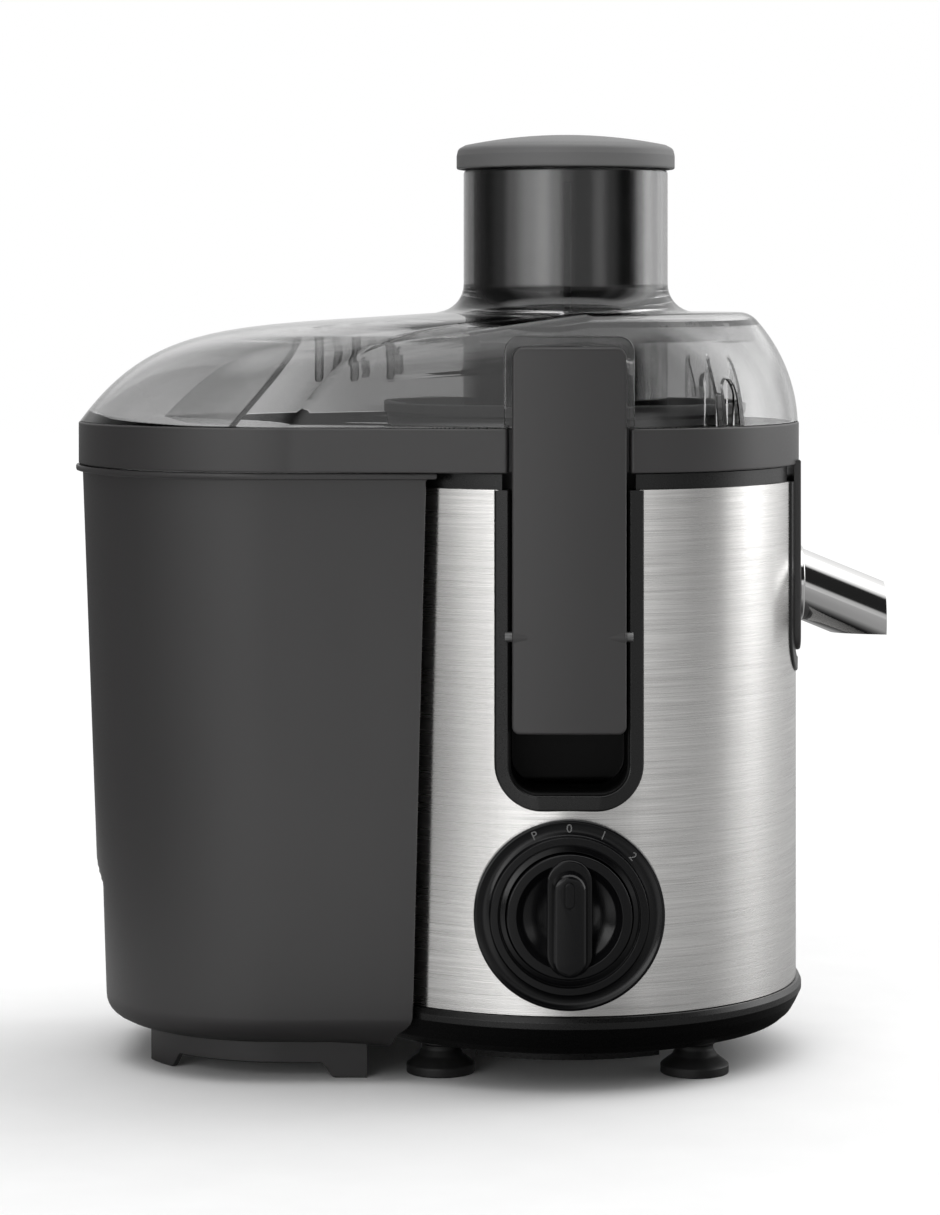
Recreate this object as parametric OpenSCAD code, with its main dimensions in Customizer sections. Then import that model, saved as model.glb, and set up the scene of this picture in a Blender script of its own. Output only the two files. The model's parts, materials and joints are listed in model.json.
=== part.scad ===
// Centrifugal juicer: a steel-wrapped motor base, a lift-out juice collector with a spinning
// filter basket, a clear lid with a feed tube and pusher, two side latches and a pulp container.
// Millimetres, +Z up, +X towards the spout, -Y towards the control knob.
// The modules are drawn round the motor shaft; on_axis() moves them so that the origin is at
// the centre of the base of the whole object.

/* [Motor base] */
// Radius of the steel wrap
body_r = 91.7; // [91:0.1:92.5]
// Height of the steel wrap's lower edge
wrap_low = 29.9; // [29.5:0.1:31]
// Height of the steel wrap's upper edge
wrap_top = 226.6; // [224:0.1:227]
// Thickness of the steel wrap
wrap_t = 0.8; // [0.5:0.1:0.8]
// Wall of the plastic mouldings
wall = 2.4; // [2:0.1:2.6]
// Height of the deck above the motor
deck_z = 168; // [167:0.1:168]
// Widest radius of the base ring
base_ring_r = 93.8; // [93:0.1:94.5]
// Half the spacing of the feet
foot_pos = 49; // [48:0.5:50]
// Radius of a suction foot
foot_r = 13.2; // [12:0.1:13.5]

/* [Collector and lid] */
// Radius of the collar's front
collar_r = 92.9; // [92.5:0.1:93.2]
// Radius of the collar's rear end
rear_r = 85.3; // [84:0.1:86]
// Distance from the shaft back to the centre of the rear end
rear_d = 109; // [108:0.5:110]
// Height of the collar's lower edge
collar_low = 232.9; // [232.9:0.1:234]
// Height of the collar's upper edge
collar_top = 249.6; // [249:0.1:249.6]
// Radius of the juice bowl
bowl_r = 80; // [78:0.1:80]
// Height of the lid's flat roof
roof_z = 292.9; // [292:0.1:294]
// Outer radius of the feed tube
tube_r = 40.8; // [40.5:0.1:41.2]
// Wall of the feed tube and of the lid
clear_wall = 2.4; // [2.2:0.1:2.5]
// Height of the feed tube's rim
tube_top = 349.4; // [345:0.1:349.4]

/* [Pusher] */
// Radius of the pusher
pusher_r = 36.8; // [36:0.1:37.2]
// Radius of the pusher's cap
cap_r = 43.6; // [42:0.1:45]
// Overall height
cap_top = 363.5; // [360:0.1:366]

/* [Side latches] */
// Width of a latch arm
arm_w = 42.8; // [40:0.1:43]
// Height of a latch arm's lower end
arm_low = 135.4; // [134:0.1:137]
// Height of a latch arm's upper end
arm_top = 280.3; // [278:0.1:280.5]
// Distance of a latch arm's face from the shaft
arm_face = 94; // [93.5:0.1:94.5]
// Height of the latch pivot
pivot_z = 171.6; // [171:0.1:172]

/* [Control knob] */
// Height of the knob's centre
knob_z = 68; // [67:0.1:69]
// Radius of the knob's bezel
bezel_r = 35.8; // [35:0.1:36.5]
// Radius of the turning dial
dial_r = 23.5; // [23:0.1:23.6]
// Reach of the knob from the shaft
knob_reach = 105; // [103:0.1:107]

/* [Spout] */
// Radius of the spout
spout_r = 13.35; // [13:0.05:13.6]
// Height of the spout's root
spout_z = 184.8; // [184:0.1:186]
// Downward slope of the spout in degrees
spout_slope = 22.2; // [20:0.1:24]
// Reach of the spout from the shaft
spout_reach = 126.9; // [124:0.1:130]

/* [Pulp container] */
// Reach of the container's rim behind the shaft
container_reach = 195.4; // [194:0.1:197]
// Half the container's width at the top
container_half = 80; // [79:0.1:81]
// Height of the container's underside
container_low = 14.7; // [14:0.1:16]
// Height of the container's rim
container_top = 232.6; // [230:0.1:232.6]
// Radius of the hollow front that hugs the base
container_hug = 96; // [95.8:0.1:97]

/* [Hidden] */
$fn = 96;

dark_grey = "#4b4a4b";
mid_grey = "#6e6e6e";
black_plastic = "#1d1d1e";
steel = "#c9c8c6";
chrome = "#dcdcdc";
rubber = "#161616";
smoky_clear = "#9a9a9a90";
copper = "#b5652f";
iron = "#77797c";
brass = "#c4a35a";

latch_reach = arm_face;
axis_x = (container_reach - spout_reach) / 2;
axis_y = (knob_reach - latch_reach) / 2;
eps = 0.01;
tall = 400;

// ---------------------------------------------------------------- helpers

module on_axis() translate([axis_x, axis_y, 0]) children();

// Turns something built upwards so that it points to the near side (-Y)
module to_near() rotate([90, 0, 0]) children();

// Turns something built upwards so that it points to the front (+X)
module to_front() rotate([0, 90, 0]) children();

module at_height(z) translate([0, 0, z]) children();

module tube(r_out, r_in, h) difference() {
    cylinder(r = r_out, h = h);
    translate([0, 0, -1]) cylinder(r = r_in, h = h + 2);
}

module bar(x0, x1, y0, y1, z0, z1) translate([x0, y0, z0]) cube([x1 - x0, y1 - y0, z1 - z0]);

// The four corners of a square of half side h
module each_corner(h) for (sx = [-1, 1], sy = [-1, 1]) translate([sx * h, sy * h, 0]) children();

function arc(c, r, a0, a1, n) =
    [for (i = [0 : n]) let (a = a0 + (a1 - a0) * i / n) c + r * [cos(a), sin(a)]];

// A rectangle with rounded corners: half width, low and high edge, lower and upper corner radius
function rounded(half, low, high, r_low, r_high, n = 8) = concat(
    arc([half - r_low, low + r_low], r_low, -90, 0, n),
    arc([half - r_high, high - r_high], r_high, 0, 90, n),
    arc([r_high - half, high - r_high], r_high, 90, 180, n),
    arc([r_low - half, low + r_low], r_low, 180, 270, n));

// A U-shaped prism that stands on the near side and reaches from y0 towards the shaft
module u_prism(half, low, high, r, y0, depth)
    translate([0, -y0 + depth, 0]) to_near() linear_extrude(depth)
        polygon(rounded(half, low, high, r, 0.5));

// Plan of the collar: a front circle and a rear circle with straight sides
module plan(front, rear, d = rear_d) {
    lean = acos((front - rear) / d);
    touch_f = (front - eps) * [cos(lean), sin(lean)];
    touch_r = [-d, 0] + (rear - eps) * [cos(lean), sin(lean)];
    circle(r = front);
    translate([-d, 0]) circle(r = rear);
    polygon([touch_f, touch_r, [touch_r.x, -touch_r.y], [touch_f.x, -touch_f.y]]);
}

module plan_slab(front, rear, low, high, d = rear_d)
    at_height(low) linear_extrude(high - low) plan(front, rear, d);

// Skins a stack of rings that all have the same number of points; closed joins the last ring
// to the first, and otherwise both ends are capped
module skin(rings, closed = false) {
    n = len(rings[0]);
    m = len(rings);
    points = [for (r = rings) each r];
    walls = [for (j = [0 : closed ? m - 1 : m - 2], i = [0 : n - 1])
        let (k = (i + 1) % n, up = (j + 1) % m)
            each [[j * n + i, up * n + i, up * n + k], [j * n + i, up * n + k, j * n + k]]];
    caps = closed ? [] : [[for (i = [0 : n - 1]) i], [for (i = [n - 1 : -1 : 0]) (m - 1) * n + i]];
    polyhedron(points = points, faces = concat(walls, caps));
}

// ---------------------------------------------------------------- motor base

neck_top = 232.4;
ring_seat = 29.6;
floor_top = 17.2;
skin_gap = 0.2;
tray_half = 24.35;
slot_half = 22.55;
frame_half = 28.1;
frame_low = 106.4;
pocket_low = 112.4;
spout_frame_low = 151;
tongue_low = 159.6;
gland_angle = 115;
gland_z = 46;
gland_bore = 4.1;
gland_r = 8;
post_x = 46;
post_y = 18;
post_low = 147;

// Side profile of a latch pocket (distance from the shaft, height); grow widens it all round
function pocket_profile(grow, top) = [
    [body_r + 4, top], [85.6 - grow, top], [85.6 - grow, 173.5 + grow], [60 - grow, 137 + grow],
    [60 - grow, pocket_low - grow], [body_r + 4, pocket_low - grow]];

module pocket_block(half, grow, top)
    translate([-half, 0, 0]) rotate([90, 0, 90]) linear_extrude(2 * half)
        polygon([for (p = pocket_profile(grow, top)) [-p.x, p.y]]);

module both_sides() {
    children();
    mirror([0, 1, 0]) children();
}

// The openings that the latches, the spout and the knob need in a wall of the base
module base_openings(side_half, front_half) {
    both_sides() u_prism(side_half, frame_low + 2, tall, 16, 110, 50);
    rotate([0, 0, 90]) u_prism(front_half, spout_frame_low + 2, tall, 14, 110, 50);
    translate([0, 0, knob_z]) to_near() at_height(60) cylinder(r = 30, h = 50);
    translate([0, 0, gland_z]) rotate([0, 0, gland_angle]) to_front()
        at_height(60) cylinder(r = gland_r + 0.15, h = 50);
}

shell_split = 110;
spigot_r = 87.8;
neck_r = 90.1;
housing_r = body_r - wrap_t - skin_gap;
shell_gap = slot_half + 2.6;

// The lower housing: a plain wall behind the steel, with the louvres behind the pulp container
module motor_housing() color(black_plastic) on_axis() difference() {
    rotate_extrude() polygon([
        [spigot_r - wall, floor_top + 0.2], [spigot_r, floor_top + 0.2],
        [spigot_r, ring_seat + 0.3], [housing_r, ring_seat + 0.3], [housing_r, shell_split],
        [neck_r - wall, shell_split], [neck_r - wall, ring_seat + 4], [spigot_r - wall, ring_seat + 1]]);
    base_openings(shell_gap, shell_gap);
    for (i = [0 : 4]) bar(-100, -60, -28, 28, 60 + i * 9, 63 + i * 9);
}

// The wall above the lower housing, which ends in the neck under the collector
module upper_wall() difference() {
    rotate_extrude() polygon([
        [neck_r - wall, shell_split], [housing_r, shell_split], [housing_r, wrap_top + 0.2],
        [neck_r, wrap_top + 0.2], [neck_r, neck_top], [neck_r - wall, neck_top]]);
    rotate([0, 0, 90]) u_prism(shell_gap, spout_frame_low + 2, tall, 14, 110, 50);
}

module front_shell() color(black_plastic) on_axis() intersection() {
    upper_wall();
    bar(shell_gap, 100, -100, 100, 0, tall);
}

module rear_shell() color(black_plastic) on_axis() intersection() {
    upper_wall();
    bar(-100, -shell_gap, -100, 100, 0, tall);
}

// The deck over the motor, with the four posts that it hangs from
module motor_deck() color(black_plastic) on_axis() difference() {
    union() {
        at_height(deck_z) cylinder(r = neck_r - wall - 0.1, h = 2.5);
        at_height(deck_z) cylinder(r = 16, h = 8);
        for (sx = [-1, 1], sy = [-1, 1])
            translate([sx * post_x, sy * post_y, post_low]) cylinder(r = 5, h = deck_z - post_low + 1);
    }
    at_height(deck_z - 1) cylinder(r = 9.1, h = 10);
    both_sides() pocket_block(tray_half + 0.3, 2.1, tall);
    for (sx = [-1, 1], sy = [-1, 1])
        translate([sx * post_x, sy * post_y, post_low - 1]) cylinder(r = 1.6, h = 18);
}

module steel_wrap() color(steel) on_axis() difference() {
    at_height(wrap_low) tube(body_r, body_r - wrap_t, wrap_top - wrap_low);
    base_openings(frame_half - 1.5, frame_half - 1.5);
    bar(-100, -40, -58, 58, 0, tall);
}

module base_ring() color(black_plastic) on_axis() difference() {
    rotate_extrude() polygon([
        [55, 14.4], [86, 14.4], [89.8, 17.6], [92.3, 21.6], [93.3, 23.6], [base_ring_r, 25.6],
        [93.6, 27.4], [93.1, ring_seat], [88, ring_seat], [88, floor_top], [55, floor_top]]);
    each_corner(foot_pos) at_height(10) cylinder(r = 3.2, h = 12);
    for (a = [0 : 90 : 270]) rotate(a) translate([59, 0, 10]) cylinder(r = 1.6, h = 12);
}

module bottom_cover() color(black_plastic) on_axis() difference() {
    union() {
        difference() {
            at_height(8) cylinder(r = 66, h = 6.2);
            at_height(10.2) cylinder(r = 63.8, h = 6);
        }
        for (a = [0 : 90 : 270]) rotate(a) translate([59, 0, 9]) cylinder(r = 4, h = 5.2);
    }
    each_corner(foot_pos) at_height(6) cylinder(r = foot_r + 2.3, h = 12);
    for (a = [0 : 90 : 270]) rotate(a) translate([59, 0, 6]) {
        cylinder(r = 1.8, h = 12);
        cylinder(r = 3.4, h = 4.4);
    }
    for (i = [-4 : 4]) bar(-18, 18, i * 7 - 1.5, i * 7 + 1.5, 6, 12);
}

module screw(head_r, head_h, shank_r, length) {
    cylinder(r = head_r, h = head_h);
    cylinder(r = shank_r, h = length);
}

module base_screws() color(iron) on_axis()
    for (a = [0 : 90 : 270]) rotate(a) translate([59, 0, 8.6]) difference() {
        screw(3.1, 1.7, 1.5, 12);
        at_height(-1) cylinder(r = 1.2, h = 2, $fn = 6);
    }

module foot_studs() color(iron) on_axis() each_corner(foot_pos) at_height(9) {
    cylinder(r = 3, h = 11);
    at_height(floor_top - 8.8) cylinder(r = 5, h = 1.6);
}

module suction_feet() color(rubber) on_axis() each_corner(foot_pos) difference() {
    rotate_extrude() polygon([
        [0, 2], [7, 1.6], [11.6, 0], [foot_r - 0.3, 0], [foot_r, 0.6], [foot_r, 3.4],
        [12.4, 4.2], [9.4, 6.4], [7.6, 9], [7, 11], [7, 14.2], [0, 14.2]]);
    at_height(8.9) cylinder(r = 3.05, h = 8);
}

// A black bezel that laps over the steel round a U-shaped opening on the near side
module u_flange(low, r_corner) difference() {
    intersection() {
        at_height(low) tube(body_r + 0.9, body_r - wrap_t - 0.1, wrap_top - low - 0.1);
        u_prism(frame_half, low, wrap_top + 1, r_corner, 100, 50);
    }
    // the steel stays clear of the flange, which only laps over its edge
    intersection() {
        at_height(low - 1) tube(body_r + 0.1, body_r - wrap_t - 1, wrap_top - low + 2);
        difference() {
            u_prism(frame_half + 2, low - 2, tall, r_corner, 100, 50);
            u_prism(frame_half - 1.8, low + 2.3, tall - 1, r_corner - 2, 101, 52);
        }
    }
}

module latch_frame() difference() {
    union() {
        u_flange(frame_low, 17.6);
        intersection() {
            difference() {
                pocket_block(tray_half, 1.8, wrap_top - 0.1);
                pocket_block(slot_half, 0, tall);
            }
            cylinder(r = body_r - 0.5, h = tall);
        }
    }
    u_prism(slot_half, pocket_low, tall, 11, 110, 25);
    at_pivot() translate([0, 0, -30]) cylinder(r = 2, h = 60);
}

pivot_y = 89.5;
pin_r = 1.95;
module at_pivot() translate([0, -pivot_y, pivot_z]) to_front() children();

module latch_frame_near() color(black_plastic) on_axis() latch_frame();
module latch_frame_far() color(black_plastic) on_axis() mirror([0, 1, 0]) latch_frame();

module latch_pins() color(steel) on_axis() both_sides() at_pivot()
    at_height(-tray_half + 0.3) cylinder(r = pin_r, h = 2 * tray_half - 0.6);

module spout_frame() color(black_plastic) on_axis() rotate([0, 0, 90]) difference() {
    union() {
        u_flange(spout_frame_low, 15);
        intersection() {
            u_prism(tray_half, spout_frame_low + 4.2, wrap_top - 0.1, 12, 98, 12);
            cylinder(r = body_r - 0.5, h = tall);
        }
    }
    u_prism(slot_half, spout_frame_low + 6, tall, 11, 110, 50);
}

module cord_gland() color(rubber) on_axis() translate([0, 0, gland_z])
    rotate([0, 0, gland_angle]) to_front() difference() {
        union() {
            at_height(80) cylinder(r = gland_r, h = 13);
            at_height(91.9) cylinder(r = gland_r + 2.5, h = 2.3);
        }
        at_height(70) cylinder(r = gland_bore, h = 40);
    }

// ---------------------------------------------------------------- knob and controls

dial_face = 98.5;
dial_floor = 88;

module at_knob() translate([0, 0, knob_z]) to_near() children();

module knob_bezel() color(black_plastic) on_axis() difference() {
    union() {
        difference() {
            at_knob() at_height(82) rotate_extrude() polygon([
                [0, 0], [bezel_r, 0], [bezel_r, 10.8], [35, 12], [33.6, 12.4], [31.4, 11.8],
                [30, 12.8], [29.7, 14.4], [26.7, 14.8], [26.4, 14.2], [dial_r + 0.5, 14.2],
                [dial_r + 0.5, 12], [0, 12]]);
            cylinder(r = body_r + 0.15, h = tall);
        }
        at_knob() at_height(80) cylinder(r = 29.6, h = 13);
    }
    at_knob() at_height(dial_floor) cylinder(r = dial_r + 0.5, h = 20);
    at_knob() at_height(70) cylinder(r = 3.3, h = 30);
}

// Outline of the finger bar on the dial
function bar_outline(half, low, high) = rounded(half, low, high, half - 0.5, half - 0.05);

module control_knob() color(black_plastic) on_axis() at_knob() difference() {
    union() {
        rotate_extrude() polygon([
            [0, 88.4], [dial_r, 88.4], [dial_r, 97.6], [22.6, dial_face], [20.2, dial_face],
            [12, 95.2], [0, 94.6]]);
        intersection() {
            hull() {
                at_height(92) linear_extrude(1) polygon(bar_outline(8.6, -23.2, 21.6));
                at_height(98) linear_extrude(1) polygon(bar_outline(8.3, -23.2, 21));
            }
            cylinder(r = 22.4, h = 110);
        }
        hull() {
            at_height(98) linear_extrude(1) polygon(bar_outline(7.2, -22.2, 19.6));
            at_height(knob_reach - 1) linear_extrude(1) polygon(bar_outline(6.3, -21.6, 17));
        }
    }
    at_height(80) cylinder(r = 3.05, h = 13.5);
}

module switch_shaft() color(iron) on_axis() at_knob() at_height(58) difference() {
    cylinder(r = 3, h = 35);
    bar(-4, 4, 2, 5, 28, 36);
}

module rotary_switch() color(mid_grey) on_axis() at_knob() difference() {
    union() {
        at_height(60) cylinder(r = 14, h = 17);
        at_height(76) cylinder(r = 7, h = 3.6);
        for (i = [-1 : 1]) bar(i * 7 - 1.2, i * 7 + 1.2, -18, -10, 62, 66);
    }
    at_height(50) cylinder(r = 3.2, h = 40);
}

module control_board() color("#2e5a3a") on_axis() {
    bar(-70, -68.4, -26, 26, 48, 104);
    bar(-68.4 - eps, -56, -20, -6, 60, 72);
    bar(-68.4 - eps, -54, 4, 18, 84, 96);
    translate([-68.4 - eps, -14, 88]) to_front() cylinder(r = 6, h = 16);
    translate([-68.4 - eps, 12, 62]) to_front() cylinder(r = 5, h = 12);
}

module interlock_switch() color(black_plastic) on_axis() {
    bar(-10, 10, 44, 54, 114, 130);
    for (i = [-1 : 1]) bar(i * 6 - 1.5, i * 6 + 1.5, 47, 48, 108, 115);
}

// ---------------------------------------------------------------- motor

stack_low = 74;
stack_top = 106;
armature_r = 19.8;
shaft_r = 4;
pole_half = 20;
bolt_x = 37;

module motor_stator() color(iron) on_axis() at_height(stack_low) difference() {
    intersection() {
        bar(-42, 42, -36, 36, 0, stack_top - stack_low);
        cylinder(r = 48, h = stack_top - stack_low);
    }
    at_height(-1) cylinder(r = armature_r + 0.7, h = 40);
    for (sx = [-1, 1], sy = [-1, 1])
        translate([sx * 27, sy * (pole_half + 4.5), 15]) cube([10, 9, 40], center = true);
    for (sx = [-1, 1]) translate([sx * bolt_x, 0, -1]) cylinder(r = 2.3, h = 40);
}

module field_windings() color(copper) on_axis() for (sx = [-1, 1])
    translate([sx * 27, 0, (stack_low + stack_top) / 2]) difference() {
        cube([9, 2 * pole_half + 15, 50], center = true);
        cube([9.2, 2 * pole_half + 1, 33], center = true);
    }

module upper_motor_bracket() color(iron) on_axis() difference() {
    union() {
        bar(-54, 54, -25, 25, 139, 142);
        at_height(139) cylinder(r = 14, h = 12);
    }
    at_height(143) cylinder(r = 11.05, h = 9);
    at_height(130) cylinder(r = 6, h = 20);
    for (sx = [-1, 1], sy = [-1, 1]) translate([sx * post_x, sy * post_y, 130]) cylinder(r = 2.2, h = 20);
    for (sx = [-1, 1]) translate([sx * bolt_x, 0, 130]) cylinder(r = 2.2, h = 20);
}

module lower_motor_bracket() color(iron) on_axis() difference() {
    union() {
        bar(-44, 44, -13, 13, 36, 39);
        at_height(29) cylinder(r = 11, h = 10);
    }
    at_height(28) cylinder(r = 8.05, h = 8);
    at_height(28) cylinder(r = 5, h = 20);
    for (sx = [-1, 1]) translate([sx * bolt_x, 0, 30]) cylinder(r = 2.2, h = 20);
}

module ball_bearing(r_out, h) {
    tube(r_out, r_out - 1.6, h);
    tube(shaft_r + 1.6, shaft_r + 0.05, h);
    at_height(0.6) tube(r_out - 1.6 + eps, shaft_r + 1.6 - eps, h - 1.2);
}

module upper_bearing() color(steel) on_axis() at_height(143.2) ball_bearing(11, 7);
module lower_bearing() color(steel) on_axis() at_height(30) ball_bearing(8, 5);

module through_bolts() color(iron) on_axis() for (sx = [-1, 1]) translate([sx * bolt_x, 0, 33]) {
    cylinder(r = 2, h = 112);
    cylinder(r = 4, h = 2.8, $fn = 6);
    at_height(109.2) cylinder(r = 4, h = 2.8, $fn = 6);
}

module brush_holders() color(brass) on_axis() both_sides() difference() {
    bar(-5, 5, -40, -13, 47, 57);
    bar(-3.6, 3.6, -38, -10, 48.4, 55.6);
}

module carbon_brushes() color("#2a2a2c") on_axis() both_sides() bar(-3.4, 3.4, -30, -12, 48.6, 55.4);

module motor_dampers() color(rubber) on_axis() for (sx = [-1, 1], sy = [-1, 1])
    translate([sx * post_x, sy * post_y, 142.1]) tube(6, 2.2, post_low - 142.3);

module motor_screws() color(iron) on_axis() for (sx = [-1, 1], sy = [-1, 1])
    translate([sx * post_x, sy * post_y, 136.6]) screw(4, 2.2, 1.5, 24);

module shaft_seal() color(rubber) on_axis() at_height(171) tube(9, shaft_r + 0.1, 4.5);

module motor_shaft() color(steel) on_axis() at_height(28.5) cylinder(r = shaft_r, h = 163);

module armature_core() color(iron) on_axis() at_height(stack_low) difference() {
    cylinder(r = armature_r, h = stack_top - stack_low);
    at_height(-1) cylinder(r = shaft_r, h = 40);
    for (a = [0 : 30 : 330]) rotate(a) translate([14.5, 0, -1]) cylinder(r = 2.4, h = 40);
    for (a = [0 : 30 : 330]) rotate(a) bar(15, 21, -0.8, 0.8, -1, 40);
}

module armature_windings() color(copper) on_axis() for (z = [stack_low - 11, stack_top + 0.1])
    at_height(z) difference() {
        rotate_extrude() polygon([
            [shaft_r + 2, 0], [13, 0], [17, 3], [17, 8], [13, 10.9], [shaft_r + 2, 10.9]]);
        at_height(-1) cylinder(r = shaft_r + 2, h = 14);
    }

module commutator() color(brass) on_axis() at_height(46) difference() {
    tube(11.6, shaft_r, 12);
    for (a = [0 : 15 : 345]) rotate(a) bar(10.8, 13, -0.25, 0.25, 0.8, 13);
}

module cooling_fan() color(mid_grey) on_axis() at_height(120) {
    tube(8, shaft_r, 14);
    at_height(0) tube(35, 7, 1.6);
    for (a = [0 : 36 : 324]) rotate([0, 0, a]) bar(7.5, 34.5, -0.9, 0.9, 1, 13);
}

module drive_coupling() color(black_plastic) on_axis() at_height(178) difference() {
    union() {
        cylinder(r = 9.6, h = 18.6);
        for (a = [0 : 60 : 300]) rotate(a) bar(8, 11, -1.4, 1.4, 0, 17);
        cylinder(r = 12, h = 1.6);
    }
    at_height(-1) cylinder(r = shaft_r, h = 15);
}

// ---------------------------------------------------------------- latch arms

module latch_arm() difference() {
    union() {
        difference() {
            translate([0, -86, 0]) to_near() linear_extrude(arm_face - 86)
                polygon(rounded(arm_w / 2, arm_low, arm_top, 3, 3.5));
            translate([0, -80, 0]) to_near() linear_extrude(arm_face - 80 - 2.6)
                polygon(rounded(arm_w / 2 - 2.4, arm_low + 2.6, arm_top - 2.6, 1.5, 1.5));
        }
        for (sx = [-1, 1]) translate([sx * 17, 0, 0]) at_pivot() at_height(-4) cylinder(r = 4.1, h = 8);
        for (z = [160, 200, 240]) bar(-20, 20, -92, -87, z, z + 1.6);
    }
    at_pivot() at_height(-30) cylinder(r = 2.05, h = 60);
}

module latch_arm_near() color(dark_grey) on_axis() latch_arm();
module latch_arm_far() color(dark_grey) on_axis() mirror([0, 1, 0]) latch_arm();

// ---------------------------------------------------------------- juice collector

bowl_low = 172;
shelf_z = 234.9;
notch_half = 23;
notch_back = 84.8;
nozzle_r = 9.6;
nozzle_reach = 97.6;
juice_bore = 8;
chute_r = container_hug + 2.4;

// The bowl that catches the juice, with its outlet and the raised ring round the shaft
module juice_collector() color(dark_grey) on_axis() difference() {
    union() {
        difference() {
            at_height(bowl_low) cylinder(r = bowl_r, h = shelf_z + 2 - bowl_low);
            at_height(bowl_low + wall) cylinder(r = bowl_r - 2, h = 100);
        }
        at_height(bowl_low) cylinder(r = 20, h = 18);
        translate([bowl_r - 3, 0, spout_z]) to_front() cylinder(r = nozzle_r, h = nozzle_reach - bowl_r + 3);
    }
    at_height(bowl_low - 1) cylinder(r = 18, h = 30);
    translate([bowl_r - 10, 0, spout_z]) to_front() cylinder(r = juice_bore, h = 40);
}

// The collar and shelf round the bowl, with the pulp chute, the latch notches and the tongue
module collector_collar() color(dark_grey) on_axis() difference() {
    union() {
        difference() {
            plan_slab(collar_r, rear_r, collar_low, collar_top);
            plan_slab(collar_r - 2.6, rear_r - 2.6, collar_low - 1, collar_top + 1);
        }
        difference() {
            plan_slab(collar_r - 1.5, rear_r - 1.5, shelf_z, shelf_z + 2);
            at_height(shelf_z - 1) cylinder(r = bowl_r, h = 4);
            // the chute through which the pulp drops
            difference() {
                plan_slab(76, 76, shelf_z - 1, shelf_z + 3, rear_d + 2);
                at_height(shelf_z - 2) cylinder(r = chute_r, h = 6);
            }
        }
        both_sides() bar(-notch_half - 1.8, notch_half + 1.8, -92, -notch_back + 1.6,
            collar_low, collar_top);
        rotate([0, 0, 90]) translate([0, -89.4, 0]) to_near() linear_extrude(3)
            polygon(rounded(arm_w / 2, tongue_low, collar_low + 2, 6, 0.5));
    }
    both_sides() bar(-notch_half, notch_half, -110, -notch_back, collar_low - 1, collar_top + 1);
    translate([bowl_r, 0, spout_z]) to_front() cylinder(r = nozzle_r + 0.1, h = 20);
}

// ---------------------------------------------------------------- spout

spout_root = 92.8;
socket_depth = 5.6;
spout_cut = 165.2;

module sloped(x) translate([x, 0, spout_z]) rotate([0, 90 + spout_slope, 0]) children();

module spout() color(chrome) on_axis() difference() {
    union() {
        intersection() {
            sloped(spout_root) at_height(-10) cylinder(r = spout_r, h = 60);
            bar(spout_root, spout_reach, -30, 30, spout_cut, 220);
        }
        translate([spout_root, 0, spout_z]) to_front() cylinder(r = 14.8, h = 1.8);
    }
    // the socket that turns on the collector's nozzle
    translate([spout_root - 1, 0, spout_z]) to_front() cylinder(r = nozzle_r + 0.1, h = socket_depth + 1);
    // the juice way, closed by the rounded end and open below
    intersection() {
        sloped(spout_root) cylinder(r = spout_r - 1.8, h = 50);
        bar(spout_root + 4, spout_reach - 2.2, -30, 30, spout_cut - 10, 220);
        bar(spout_root, spout_reach, -30, 30, 100, 200);
    }
}

module spout_seal() color(rubber) on_axis() translate([spout_root - 0.3, 0, spout_z]) to_front()
    tube(12.2, nozzle_r + 0.05, 0.2);

// ---------------------------------------------------------------- filter basket

filter_low = 197.6;
rim_z = 249;

module filter_base() color(dark_grey) on_axis() difference() {
    union() {
        at_height(filter_low) cylinder(r = 51, h = 2.4);
        at_height(180) cylinder(r = 15.5, h = 18);
    }
    at_height(179) cylinder(r = 11.6, h = 18.2);
}

module filter_mesh() color(steel) on_axis() rotate_extrude() polygon([
    [50, 200.2], [50.8, 200.2], [70.6, rim_z - 0.1], [69.8, rim_z - 0.1]]);

module filter_rim() color(dark_grey) on_axis() rotate_extrude() polygon([
    [68, rim_z], [72.4, rim_z], [72.4, 256], [71.8, 257.4], [70.4, 257.4], [69.4, 255.6], [68, 252]]);

module grating_disc() color(steel) on_axis() {
    difference() {
        at_height(200.2) cylinder(r = 49.5, h = 1.2);
        for (a = [0 : 45 : 315], i = [0 : 3])
            rotate(a) translate([16 + i * 9, i % 2 == 0 ? 2 : -2, 199]) cylinder(r = 1.8, h = 4);
    }
    for (a = [0 : 45 : 315], i = [0 : 6])
        rotate([0, 0, a + 22.5]) bar(11 + i * 5.4, 13.4 + i * 5.4, -0.5, 0.5, 201, 202.8);
}

// ---------------------------------------------------------------- lid

lid_low = 249.9;
wall_arc_r = 64;
wall_arc_z = 247;
wall_arc_end = 42;
fillet_r = 11.2;
lean = 85;
wall_steps = 6;
shoulder_steps = 3;
roof_steps = 4;
fillet_steps = 4;
wall_x = 92.5 - wall_arc_r;
shoulder_r = (roof_z - wall_arc_z - wall_arc_r * sin(wall_arc_end)) / (1 - sin(wall_arc_end));
shoulder_c = [wall_x, wall_arc_z] + (wall_arc_r - shoulder_r) * [cos(wall_arc_end), sin(wall_arc_end)];
fillet_c = [tube_r + fillet_r, roof_z + fillet_r];

// The rear slope of the lid along the middle, from the rim to the feed tube
rear_curve = [[-193.6, lid_low], [-163.8, 290.2], [-132.6, 286.9], [-fillet_c.x, roof_z - 0.3]];
shoulder_share = 0.45;
rear_span = -rear_curve[0].x + rear_curve[3].x;

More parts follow.
